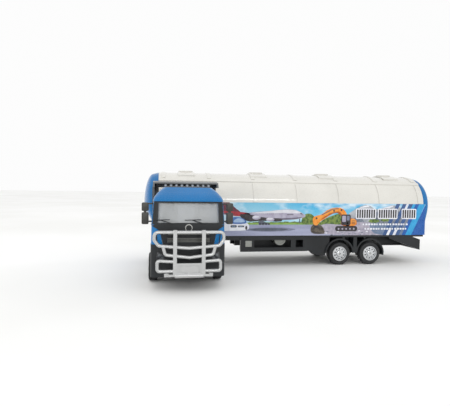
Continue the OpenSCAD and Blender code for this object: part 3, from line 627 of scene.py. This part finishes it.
def landscape():
    """Sky with clouds, a tree line, a grass verge and a paved ground, laid out by height."""
    n = Nodes("print_landscape")
    split = n.add("ShaderNodeSeparateXYZ", Vector=n.coords)
    along, z = split.outputs["X"], split.outputs["Z"]

    def below(edge, height=z):
        """One under an edge, blending to zero above it."""
        return n.ramp(height, edge[0] * MM, edge[1] * MM, 1.0, 0.0)

    rise = n.ramp(z, TREE_EDGE[0] * MM, PRINT_HIGH * MM)
    pale = n.mix(rise, srgb(176, 214, 228), srgb(116, 188, 216))
    deep = n.mix(rise, srgb(120, 196, 222), srgb(36, 162, 212))
    sky = n.mix(n.ramp(along, *(at(x, 0, 0).x for x in SKY_X)), pale, deep)
    puffs = n.ramp(n.noise(0.05, 6, (1.0, 1.0, 2.0)), 0.44, 0.62)
    wisps = n.ramp(n.noise(0.12, 6, (0.7, 1.0, 2.4)), 0.36, 0.6, 0.2, 0.9)
    scene = n.mix(n.calc("MULTIPLY", puffs, wisps), sky, srgb(222, 234, 240))
    ragged = n.calc("ADD", z, n.ramp(n.noise(0.22, 6), 0.3, 0.7, -LEAF_REACH * MM, LEAF_REACH * MM))
    leaves = n.mix(n.ramp(n.noise(0.9, 6), 0.4, 0.6), srgb(70, 92, 56), srgb(112, 134, 74))
    scene = n.mix(below(TREE_EDGE, ragged), scene, leaves)
    blades = n.noise(0.5, 5, (0.5, 1, 3))
    grass = n.mix(n.ramp(blades, 0.4, 0.6), srgb(112, 146, 62), srgb(136, 170, 82))
    scene = n.mix(below(GRASS_EDGE), scene, grass)
    stains = n.noise(0.08, 6, (0.35, 1, 2.4))
    road = n.mix(n.ramp(stains, 0.3, 0.7), srgb(136, 140, 168), srgb(166, 170, 194))
    sheen = n.ramp(z, ROAD_SHEEN[0] * MM, ROAD_SHEEN[1] * MM, 0.4, 0.0)
    road = n.mix(sheen, road, srgb(176, 180, 204))
    n.link(n.mix(below(ROAD_EDGE), scene, road), "Base Color")
    ink_gloss(n)
    return n.mat


INK_COLOURS = {
    # name: colour, other colour, patches per millimetre where they are not the usual ones
    "white": ((232, 234, 238), (214, 216, 226)),
    "pearl": ((204, 204, 212), (216, 216, 222)),
    "lilac": ((160, 154, 174), (178, 174, 190)),
    "belly": ((104, 98, 112), (122, 116, 132)),
    "haze": ((116, 120, 142), (126, 130, 152)),
    "dusk": ((78, 84, 96), (92, 98, 112)),
    "dark": ((46, 44, 48), (66, 62, 64)),
    "maroon": ((96, 50, 64), (118, 58, 70)),
    "red": ((156, 48, 58), (178, 58, 66)),
    "orange": ((224, 134, 44), (236, 156, 70)),
    "rust": ((158, 86, 40), (178, 104, 52)),
    "brown": ((68, 62, 56), (96, 88, 78), 0.4),
    "leaf": ((66, 94, 48), (120, 140, 70), 0.5),
    "rock": ((146, 150, 158), (178, 182, 188), 0.3),
    "slate": ((98, 106, 120), (136, 142, 156), 0.3),
    "rubble": ((148, 144, 160), (176, 170, 184), 0.35),
    "shade": ((92, 112, 138), (112, 128, 154), 0.3),
    "royal": ((34, 86, 158), (42, 94, 168)),
    "navy": ((58, 84, 130), (68, 96, 142)),
    "cyan": ((44, 148, 202), (58, 160, 212)),
    "car_blue": ((58, 96, 158), (78, 116, 178)),
    "glint": ((150, 178, 210), (170, 194, 220)),
}
INK = {name: ink(name, *colours) for name, colours in INK_COLOURS.items()}


def blob(cx, cz, w, h, count=44, ripple=0.12, turns=7):
    """A leafy or stony outline of half width w and half height h."""
    out = []
    for k in range(count):
        a = 2 * math.pi * k / count
        r = 1 + ripple * math.sin(turns * a + cx)
        out.append((cx + w * r * math.cos(a), cz + h * r * math.sin(a)))
    return out


def oval(cx, cz, w, h, count=16):
    """A plain oval outline of half width w and half height h."""
    return blob(cx, cz, w, h, count, ripple=0.0)


def round_bar(x0, x1, z0, z1, r):
    """A rectangle with round corners."""
    out = []
    centres = ((x1 - r, z0 + r), (x1 - r, z1 - r), (x0 + r, z1 - r), (x0 + r, z0 + r))
    for (cx, cz), start in zip(centres, (-90, 0, 90, 180)):
        for k in range(5):
            a = math.radians(start + 90 * k / 4)
            out.append((cx + r * math.cos(a), cz + r * math.sin(a)))
    return out


def soft(outline, rounds=2):
    """The outline with its corners cut, again and again, to a smooth curve."""
    for _ in range(rounds):
        cut = []
        for (x0, z0), (x1, z1) in zip(outline, outline[1:] + outline[:1]):
            cut.append((0.75 * x0 + 0.25 * x1, 0.75 * z0 + 0.25 * z1))
            cut.append((0.25 * x0 + 0.75 * x1, 0.25 * z0 + 0.75 * z1))
        outline = cut
    return outline


def crisp(*points):
    """An outline whose corners are cut only once."""
    return soft(list(points), 1)


# Each part of the picture yields (layer, ink, outline), in millimetres along x and z.


def backdrop():
    """Trees, hills and broken ground behind the machines."""
    yield 0, "leaf", soft([(96, 34), (97, 40), (100, 43), (105, 43), (109, 39), (111, 34)])
    yield 0, "leaf", soft([(110, 33), (115, 38), (122, 41), (130, 43.5), (135, 42), (136, 33)])
    yield 1, "rock", crisp(
        (131, 33), (136, 42), (147, 49), (155, 51), (163, 46), (172, 49), (180, 51), (192, 45), (205, 34)
    )
    yield 2, "slate", crisp((155, 33), (159, 43), (168, 46.5), (174, 44), (182, 46), (190, 42), (203, 33))
    yield 2, "slate", crisp((137, 34), (142, 39), (147, 41), (153, 36), (153, 34))
    yield 3, "white", crisp((146, 47.5), (154, 50.5), (157, 49), (152, 48.5))
    yield 3, "white", crisp((167, 47), (172, 49), (180, 50.5), (176, 48), (170, 48))
    yield 3, "leaf", blob(161, 37, 5, 1.6)
    yield 3, "leaf", blob(171, 38, 4, 1.5)
    yield 3, "rubble", soft([
        (108, 25), (112, 33), (118, 35), (131, 33.5), (145, 36.5), (163, 35), (176, 32), (191, 32), (196, 25),
    ])
    yield 4, "shade", soft([(156, 36), (176, 34.5), (194, 34), (198, 29), (196, 25), (164, 25), (158, 29)])
    for k in range(15):
        x = 118 + 3.1 * k + 2 * math.sin(5 * k)
        z = 27.0 + 1.7 * math.sin(2.3 * k)
        yield 5, "slate" if k % 3 else "white", blob(x, z, 1.1, 0.42, 14, ripple=0.3, turns=3)


def airliner():
    """A plain aeroplane with its wheels down, and its shadow."""
    yield 1, "haze", blob(70, 30, 21, 1.75, ripple=0.03)
    yield 2, "dusk", blob(69, 30, 16, 1.15, ripple=0.03)
    yield 3, "maroon", [(25, PRINT_HIGH), (36.5, PRINT_HIGH), (41.5, 47), (47, 43), (31, 42.6), (29, 46)]
    yield 5, "red", crisp((25, 44), (33, 45), (47, 44), (54, 43), (52, 40.6), (44, 40.4), (32, 42))
    yield 6, "dusk", crisp((27, 43.4), (36, 42), (43, 41.6), (34, 43.2))
    yield 5, "lilac", soft([
        (47, 42.5), (55, 44), (70, 45), (82, 46.5), (92, 46), (98, 43), (101, 40.5), (92, 38), (78, 37.5),
        (60, 38.5), (46, 41),
    ])
    yield 6, "belly", soft([(60, 38.5), (78, 37.5), (92, 38.3), (99, 40.5), (90, 39.5), (76, 39.3)])
    yield 6, "pearl", soft([(50, 43), (70, 45), (82, 46.2), (92, 45.8), (98, 42.8), (84, 43.6), (66, 43)])
    yield 7, "dark", round_bar(84, 89.5, 41.8, 42.3, 0.2)
    yield 7, "dark", [(95.5, 43.5), (97, 42.8), (97.4, 42.2), (95.2, 42.7)]
    for k in range(13):
        yield 7, "dark", round_bar(61 + 1.6 * k, 61.5 + 1.6 * k, 42.4, 42.8, 0.1)
    yield 8, "dark", crisp((43, 42.5), (53, 42.2), (62, 39.8), (81, 38.8), (79, 36), (64, 37.2), (50, 36))
    for x, z in ((58.5, 39.6), (70, 38.1)):
        yield 9, "lilac", oval(x, z, 3.5, 1.6, 24)
        yield 10, "pearl", oval(x - 0.4, z + 0.6, 2.8, 0.8, 24)
    yield 9, "dusk", [(60, 36.5), (64, 37.5), (65, 36), (69.5, 35), (69, 34), (60.5, 34)]
    yield 9, "dusk", [(94.5, 38.8), (95.3, 38.8), (95.3, 36.4), (94.5, 36.4)]
    yield 9, "dusk", oval(94.9, 35.8, 0.8, 0.8)
    for x in (61.6, 64, 66.6, 69):
        yield 10, "dark", oval(x, 34.4, 0.85, 0.75)


def hatchback():
    """A plain white car with a blue roof."""
    yield 8, "white", crisp((22, 36.5), (49, 37), (53, 33.5), (52, 29.5), (42, 29), (22, 29))
    yield 9, "car_blue", soft([(31, 35), (37, 40), (47, 40), (52, 35), (44, 34.3)])
    yield 10, "glint", crisp((39, 35.8), (42, 39), (47, 39), (50, 36), (45, 35.6))
    yield 10, "dark", round_bar(37.5, 42.5, 31.7, 33.5, 0.7)
    yield 10, "dark", round_bar(43.5, 48.5, 31.9, 33.2, 0.5)
    yield 10, "dark", oval(50.3, 31.4, 0.9, 1.6, 20)
    yield 10, "dark", oval(31.0, 31.0, 1.6, 1.7, 20)
    yield 11, "glint", round_bar(38.5, 41.5, 32.5, 32.9, 0.15)
    yield 11, "glint", round_bar(44.5, 47.5, 32.4, 32.7, 0.12)


def digger():
    """A plain orange tracked digger with its boom bent over to the left."""
    yield 8, "brown", crisp(
        (106, 34), (110, 35), (115, 32.5), (117.5, 26.5), (112, 26), (106, 26.5), (104, 29.5)
    )
    yield 9, "dark", [(107.5, 32.6), (110, 33.2), (112.5, 32), (111, 31.2), (107, 31.4)]
    yield 9, "dark", [(106.5, 27.8), (113.5, 27.2), (116, 28.2), (113, 26.6), (107, 27)]
    yield 9, "orange", crisp(
        (106, 40), (110, 41.5), (113.5, 42), (120, 47), (129, 48.5), (134.5, 46), (137.5, 40), (139.2, 33),
        (135, 32.5), (132, 41), (129, 44), (123.5, 43.2), (117, 39), (112, 36), (110, 33), (106.5, 34),
    )
    yield 10, "rust", crisp(
        (111, 36.5), (119, 42.5), (126, 45), (131, 44.5), (136.5, 34.5), (134, 36), (129, 44), (123, 43)
    )
    yield 10, "dusk", [(113.6, 42.2), (114.4, 41.8), (123.6, 46.4), (128.8, 46.9), (128.6, 47.5), (123.2, 47)]
    for x, z in ((109.4, 39.2), (124.6, 45.4), (131.2, 46.1), (137, 35.2)):
        yield 11, "dark", oval(x, z, 0.8, 0.8)
    yield 9, "rust", crisp((131, 32.5), (131, 38), (138, 39.6), (145, 38.6), (145.4, 32.5))
    yield 10, "orange", crisp((138, 33), (138, 39), (144.6, 38.6), (145, 33))
    yield 11, "dark", round_bar(131.2, 139.6, 33.6, 42.4, 1.2)
    yield 12, "lilac", round_bar(132.1, 135.4, 36.2, 41.3, 0.6)
    yield 12, "haze", round_bar(136.2, 138.6, 37.4, 41.3, 0.5)
    for k in range(3):
        yield 11, "dark", round_bar(140.6, 144, 34.4 + 1.2 * k, 34.9 + 1.2 * k, 0.2)
    yield 9, "dark", round_bar(126, 145.8, 28.4, 32.8, 2)
    for k in range(5):
        yield 11, "lilac", oval(129 + 3.4 * k, 30.4, 0.75, 0.7)


def slant(x0, x1, low=PRINT_LOW, high=PRINT_HIGH):
    """A leaning band from low to high, whose sides would meet the print's foot at x0 and x1."""
    foot, head = BAND_LEAN * (low - PRINT_LOW), BAND_LEAN * (high - PRINT_LOW)
    return [(x0 + foot, low), (x1 + foot, low), (x1 + head, high), (x0 + head, high)]


def bands():
    """Leaning bands and the blue corner at the back of the print."""
    for x in (169, 175, 181):
        yield 6, "navy", slant(x, x + 3.4)
    for x in (172.4, 178.4):
        yield 6, "white", slant(x, x + 2.5, high=29.6)
    yield 6, "white", slant(178.4, 180.6, low=46.6)
    yield 6, "cyan", slant(184.4, 187, low=42)
    yield 6, "royal", slant(187, 190.4)
    yield 6, "cyan", slant(190.4, 196.2)
    yield 7, "royal", [(196, PRINT_LOW), (197, 27), (PRINT_X[1], 51), (PRINT_X[1], PRINT_LOW)]


def title_bars():
    """Plain bars where a title and two lines of small print would stand."""
    for x0, count in ((145.2, 4), (165.2, 4), (187.2, 3)):
        yield 11, "white", round_bar(x0 - 0.9, x0 + TITLE_PITCH * count + 0.1, 38.7, 47.5, 0.9)
        for k in range(count):
            for x in (x0 + TITLE_PITCH * k, x0 + TITLE_PITCH * k + 2.1):
                yield 12, "dark", round_bar(x, x + 1.4, 39.6, 46.6, 0.3)
    for z, x0, count in ((33.4, 150.6, 17), (29.6, 152.4, 16)):
        for k in range(count):
            x = x0 + LINE_PITCH * k
            width = 1.9 if k % 5 else 1.2
            yield 11, "white", round_bar(x, x + width, z, z + 1.5, 0.45)


def inside(outline):
    """The outline cut back to the part of the film that takes ink."""
    low, high = PRINT_X[0] + INK_MARGIN, PRINT_X[1] - INK_MARGIN
    return [(min(high, max(low, x)), min(PRINT_HIGH, max(PRINT_LOW, z))) for x, z in outline]


def build_prints():
    """A film on each flat side, with the picture in thin layers of ink."""
    ground = landscape()
    picture = [one for part in (backdrop, airliner, hatchback, digger, bands, title_bars) for one in part()]
    for side, node in ((-1, "side_print_left"), (1, "side_print_right")):
        shape = Shape()
        film = round_bar(*PRINT_X, PRINT_LOW, PRINT_HIGH, PRINT_CORNER)
        shape.prism(film, "y", side * SIDE_Y, side * FILM_Y, ground)
        for layer, colour, outline in picture:
            face = FILM_Y + (INK_Y - FILM_Y) * (layer + 1) / INK_LAYERS
            shape.prism(inside(outline), "y", side * (FILM_Y - INK_ROOT), side * face, INK[colour])
        art = shape.piece(node + "_art", "trailer")
        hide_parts(node)


# ---------------------------------------------------------------- cab

# The face of the headlamp covers, the cab's flat front that they stand on, the cab's back, and the radius
# of its front corners.
lamp_low, lamp_high = local_box("headlamps")
LAMP_FACE = lamp_low[1]
CAB_Y0 = lamp_high[1]
CAB_Y1 = local_box("cab_lower")[1][1]
CORNER = 3.0

# The cab's shape as (height, half width, set back of the front). From ROOF_FOOT up it curves inwards.
ROOF_STEPS = 7
ROOF_CURVE = 1.8
ROOF_FOOT, ROOF_RISE = 54.0, 8.5
CAB_SLICES = [(28.0, 22.6, 0.0), (40.4, 22.4, 0.0)]
for step in range(ROOF_STEPS + 1):
    height = ROOF_FOOT + ROOF_RISE * step / ROOF_STEPS
    drawn_in = (step / ROOF_STEPS) ** ROOF_CURVE
    CAB_SLICES.append((height, 21.3 - 6.2 * drawn_in, 0.9 + 8.1 * drawn_in))

# Patches on the left of the cab's front, as the (x, z) of their corners, and how far each stands out.
SCREEN_POST = ([(18.6, 40.2), (21.9, 40.0), (20.9, 54.0), (18.1, 54.0)], 0.22)
LAMP_WING = ([(17.2, 35.6), (18.8, 37.3), (22.2, 39.2), (19.6, 40.4)], 0.16)
GRILLE_EDGE = ([(18.5, 28.4), (19.0, 28.4), (19.8, 34.6), (19.2, 34.6)], 0.12)
GRILLE_INSET = ([(15.9, 29.0), (18.3, 28.7), (18.9, 34.1), (16.7, 34.0)], 0.5)

# Patches that cross the whole front.
SCREEN_FOOT = ([(-19.4, 39.9), (19.4, 39.9), (19.2, 41.0), (-19.2, 41.0)], 0.26)
SCREEN_HEAD = ([(-18.9, 53.0), (18.9, 53.0), (18.9, 54.0), (-18.9, 54.0)], 0.22)
PATCH_SINK = 0.6


def cab_slice(z):
    """The cab's half width and how far its front is set back, at a height."""
    for (z0, w0, d0), (z1, w1, d1) in zip(CAB_SLICES, CAB_SLICES[1:]):
        if z <= z1:
            t = max(0.0, (z - z0) / (z1 - z0))
            return w0 + (w1 - w0) * t, d0 + (d1 - d0) * t
    return CAB_SLICES[-1][1:]


def side_x(z, proud):
    """The x of the cab's side at a height, standing out by proud."""
    return cab_slice(z)[0] + proud


def front_y(x, z, proud=0.0):
    """The y of the cab's front at x and z, with its rounded corners."""
    half, back = cab_slice(z)
    over = max(0.0, abs(x) - (half - CORNER))
    return CAB_Y0 + back - proud + CORNER - math.sqrt(max(0.0, CORNER ** 2 - min(over, CORNER) ** 2))


def mirrored(quad):
    """The same patch on the other side of the cab."""
    return [(-x, z) for x, z in quad]


def front_skin(shape, quad, proud, mat, cuts=10):
    """A patch that follows the cab's front: quad is its four (x, z) corners in order."""
    (ax, az), (bx, bz), (cx, cz), (dx, dz) = quad
    shares = [i / cuts for i in range(cuts + 1)]
    grid = []
    for v in shares:
        for u in shares:
            x = (ax * (1 - u) + bx * u) * (1 - v) + (dx * (1 - u) + cx * u) * v
            z = (az * (1 - u) + bz * u) * (1 - v) + (dz * (1 - u) + cz * u) * v
            grid.append((x, z))
    n, row = len(grid), cuts + 1
    verts = [(x, front_y(x, z, proud), z) for x, z in grid]
    verts += [(x, front_y(x, z) + PATCH_SINK, z) for x, z in grid]
    faces = []
    for j in range(cuts):
        for k in range(j * row, j * row + cuts):
            faces.append([k, k + 1, k + 1 + row, k + row])
            faces.append([n + k, n + k + row, n + k + 1 + row, n + k + 1])
    rim = list(range(row)) + [j * row + cuts for j in range(1, row)]
    rim += [cuts * row + i for i in range(cuts - 1, -1, -1)] + [j * row for j in range(cuts - 1, 0, -1)]
    for start, end in zip(rim, rim[1:] + rim[:1]):
        faces.append([start, end, n + end, n + start])
    shape.extend(verts, faces, mat)


def build_cab_front():
    """The black surround of the windscreen and grille, with its blue insets."""
    surround = Shape()
    for flip in (list, mirrored):
        for (quad, proud), cuts in ((SCREEN_POST, 10), (LAMP_WING, 10), (GRILLE_EDGE, 4)):
            front_skin(surround, flip(quad), proud, BLACK, cuts)
    for quad, proud in (SCREEN_FOOT, SCREEN_HEAD):
        front_skin(surround, quad, proud, BLACK)
    surround.piece("screen_surround", "tractor", smooth=35)
    insets = Shape()
    for flip in (list, mirrored):
        front_skin(insets, flip(GRILLE_INSET[0]), GRILLE_INSET[1], CAB_BLUE)
    insets.piece("grille_insets", "tractor", smooth=35, bevel=0.15)


# The grille: how many upright ribs, half the width of their row, and half the width of one.
RIBS = 64
RIB_SPAN = 12.6
RIB_HALF = 0.1


def build_grille():
    """Bars and ribbed bands behind the front guard, and the lower louvres."""
    shape = Shape()

    def slab(x0, x1, z0, z1, proud, sink, mat):
        """A flat bar that stands out of the cab's front by proud and reaches in by sink."""
        shape.box((x0, CAB_Y0 - proud, z0), (x1, CAB_Y0 + sink, z1), mat)

    for z, half, height in ((33.9, 12.4, 0.5), (31.4, 12.8, 0.4)):
        slab(-half, half, z, z + height, 0.75, 0.2, GRILLE)
    for k in range(RIBS):
        x = -RIB_SPAN + 2 * RIB_SPAN * k / (RIBS - 1)
        slab(x - RIB_HALF, x + RIB_HALF, 29.2, 31.2, 0.62, 0.1, GRILLE)
        slab(x - RIB_HALF, x + RIB_HALF, 32.2, 33.6, 0.58, 0.1, BLACK)
    for z in (29.6, 30.5):
        slab(-12.9, 12.9, z, z + 0.2, 0.55, 0.1, GRILLE)
    for z, mat in ((26.6, GRILLE), (25.2, GRILLE), (19.2, BLACK), (22.2, BLACK)):
        slab(-RIB_SPAN, RIB_SPAN, z, z + 0.32, 0.5, 0.2, mat)
    shape.piece("grille_bars", "tractor")


# The mirrors: their outer and inner side, front and back, and the foot and head of both housings.
(arm_root, MIRROR_FRONT, mirror_foot), (MIRROR_OUTER, MIRROR_BACK, mirror_head) = local_box("mirror_left")
MIRROR_INNER = 24.2
HOUSINGS = ((47.8, mirror_head), (mirror_foot, 47.0))
MIRROR_FACE = 0.45
MIRROR_CORNER = 0.8

# Each arm's root in the cab's side, foot and head. The lower root follows the cab's wider waist.
ARMS = ((arm_root, 51.9, 52.8), (arm_root + 0.9, 41.0, 41.9))


def build_mirrors():
    """Rounded mirror housings on two arms, with their glasses facing back."""
    front, back = MIRROR_FRONT, MIRROR_BACK
    for side, name in ((1, "left"), (-1, "right")):
        shape = Shape()

        def panel(inset, z0, z1, y0, y1, mat):
            """A rounded block from z0 to z1, drawn in by inset all round."""
            x0, x1 = sorted((side * (MIRROR_INNER + inset), side * (MIRROR_OUTER - inset)))
            outline = round_bar(x0, x1, z0 + inset, z1 - inset, MIRROR_CORNER - inset / 2)
            shape.prism(outline, "y", y0, y1, mat)

        for z0, z1 in HOUSINGS:
            panel(0.0, z0, z1, front + MIRROR_FACE, back, MIRROR)
            panel(0.45, z0, z1, front, front + MIRROR_FACE, MIRROR)
            panel(0.55, z0, z1, back, back + 0.06, MIRROR_GLASS)
        panel(1.3, 45.0, 49.6, front + 0.6, back - 0.6, MIRROR)
        for root, z0, z1 in ARMS:
            x0, x1 = sorted((side * root, side * (MIRROR_INNER + 0.3)))
            shape.box((x0, front + 0.4, z0), (x1, back - 0.8, z1), MIRROR)
        housing = shape.piece("mirror_housing_" + name, "tractor", smooth=40, bevel=0.12)
        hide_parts("mirror_" + name)


# The reflectors of one headlamp, as x, z and radius.
REFLECTORS = ((17.5, 21.4, 0.95), (15.6, 20.3, 0.7))


def build_headlamps():
    """Two round reflectors with rims on the face of each dark headlamp cover."""
    root = LAMP_FACE + 0.1
    shape = Shape()
    for side in (1, -1):
        for x, z, r in REFLECTORS:
            rim = [(r, root), (r + 0.16, root), (r + 0.16, LAMP_FACE - 0.14), (r, LAMP_FACE - 0.08)]
            shape.turned(rim, (side * x, 0.0, z), "y", SMOKE, 28)
            shape.prism(disc(r + 0.05, 28, (side * x, z)), "y", root, LAMP_FACE - 0.04, LAMP)
    shape.piece("headlamp_reflectors", "tractor", smooth=40)


# A roof lamp's radius and the step from one to the next.
ROOF_LAMP_R = 0.95
ROOF_LAMP_PITCH = 3.5


def build_roof_lamps():
    """A stepped clear lens in each of the nine roof lamps."""
    low, high = local_box("roof_light_bar")
    face, head = low[1], high[2]
    shape = Shape()
    for k in range(-4, 5):
        centre = (ROOF_LAMP_PITCH * k, head - ROOF_LAMP_R)
        for r, back, front in ((0.66, 0.25, 0.08), (0.42, 0.2, 0.0)):
            shape.prism(disc(r, 20, centre), "y", face + back, face + front, LENS)
    shape.piece("roof_lamp_lenses", "tractor", smooth=40)


# The tail lamps: the step from one to the next, the width of a bezel and half the width of a rib.
TAIL_PITCH = 4.2
BEZEL_W = 0.3
RIB_W = 0.09


def build_tail_lamp_rings():
    """A dark bezel and two fine ribs on each of the six tail lamps."""
    (back, _, foot), (face, outermost, head) = local_box("tail_lamps")
    lamp_r, lamp_z = (head - foot) / 2, (head + foot) / 2
    inner, outer = lamp_r - 0.02, lamp_r + BEZEL_W
    bezel = [(inner, back), (outer, back), (outer, face - 0.35), (inner, face - 0.2)]
    root, tip = face - 0.05, face + 0.1
    shape = Shape()
    for side in (1, -1):
        for k in range(3):
            centre = (0.0, side * (outermost - lamp_r - TAIL_PITCH * k), lamp_z)
            shape.turned(bezel, centre, "x", BLACK, 32)
            for r in (lamp_r * 0.35, lamp_r * 0.65):
                shape.turned([(r - RIB_W, root), (r + RIB_W, root), (r, tip)], centre, "x", RED, 32)
    shape.piece("tail_lamp_bezels", "trailer", smooth=40)


# The door's edges, its handle's height, and how deep and in what steps a strip follows the cab's side.
DOOR_FRONT, DOOR_BACK = CAB_Y0 + 6.4, CAB_Y0 + 26.0
DOOR_FOOT, DOOR_HEAD = 28.2, 54.6
HANDLE_Z = 38.2
STRIP_ROOT = -0.3
LONGEST_STEP = 2.0

# The door's outline, the corners of its window, its handle with the grip, and the seam behind, as (y, z).
SHUT_LINE = [
    (DOOR_FRONT, DOOR_FOOT), (DOOR_FRONT, 42.0), (DOOR_FRONT + 2.6, DOOR_HEAD), (DOOR_BACK, DOOR_HEAD),
    (DOOR_BACK, DOOR_FOOT),
]
WINDOW = [
    (DOOR_FRONT + 1.2, 42.2), (DOOR_BACK - 1.6, 43.4), (DOOR_BACK - 1.6, 53.4), (DOOR_FRONT + 3.8, 53.4),
]
HANDLE = [(DOOR_BACK - 6.2, HANDLE_Z), (DOOR_BACK - 1.8, HANDLE_Z)]
GRIP = [(DOOR_BACK - 5.6, HANDLE_Z), (DOOR_BACK - 2.4, HANDLE_Z)]
REAR_SEAM = [(CAB_Y1 - 4.0, 30.0), (CAB_Y1 - 4.0, 52.0)]


def short_steps(points):
    """The same line in steps short enough to follow the cab's curved side."""
    yield points[0]
    for (y0, z0), (y1, z1) in zip(points, points[1:]):
        count = math.ceil(math.hypot(y1 - y0, z1 - z0) / LONGEST_STEP)
        for k in range(1, count + 1):
            yield y0 + (y1 - y0) * k / count, z0 + (z1 - z0) * k / count


def side_strip(shape, side, points, wide, proud):
    """A black strip along a line of (y, z) points on one side of the cab, standing out by proud."""
    walked = list(short_steps(points))
    for (y0, z0), (y1, z1) in zip(walked, walked[1:]):
        reach = math.hypot(y1 - y0, z1 - z0)
        ny = -(z1 - z0) / reach * wide / 2
        nz = (y1 - y0) / reach * wide / 2
        corners = [(y0 + ny, z0 + nz), (y1 + ny, z1 + nz), (y1 - ny, z1 - nz), (y0 - ny, z0 - nz)]
        verts = [(side * side_x(z, proud), y, z) for y, z in corners]
        verts += [(side * side_x(z, STRIP_ROOT), y, z) for y, z in corners]
        shape.extend(verts, [[0, 1, 2, 3], [7, 6, 5, 4]] + quads_between(4, 0, 4), BLACK)


def build_doors():
    """Shut lines, window seals, handles and a rear seam on both sides of the cab."""
    for side, name in ((1, "left"), (-1, "right")):
        shape = Shape()
        side_strip(shape, side, SHUT_LINE, 0.28, 0.07)
        for start, end in zip(WINDOW, WINDOW[1:] + WINDOW[:1]):
            side_strip(shape, side, [start, end], 0.5, 0.12)
        side_strip(shape, side, HANDLE, 1.3, 0.55)
        side_strip(shape, side, GRIP, 0.6, 0.75)
        side_strip(shape, side, REAR_SEAM, 0.22, 0.07)
        shape.piece("door_trim_" + name, "tractor", smooth=30)


build_cab_front()
build_grille()
build_doors()
build_mirrors()
build_headlamps()
build_roof_lamps()
build_tail_lamp_rings()
build_tyres()
build_wheel_nuts()
build_cap("front_cap", local_box("front_cap")[1][0], -1)
build_cap("rear_cap", cap_low[0], 1)
build_prints()
build_stage()
build_lights()
build_camera()
bpy.context.scene.view_settings.view_transform = "Standard"
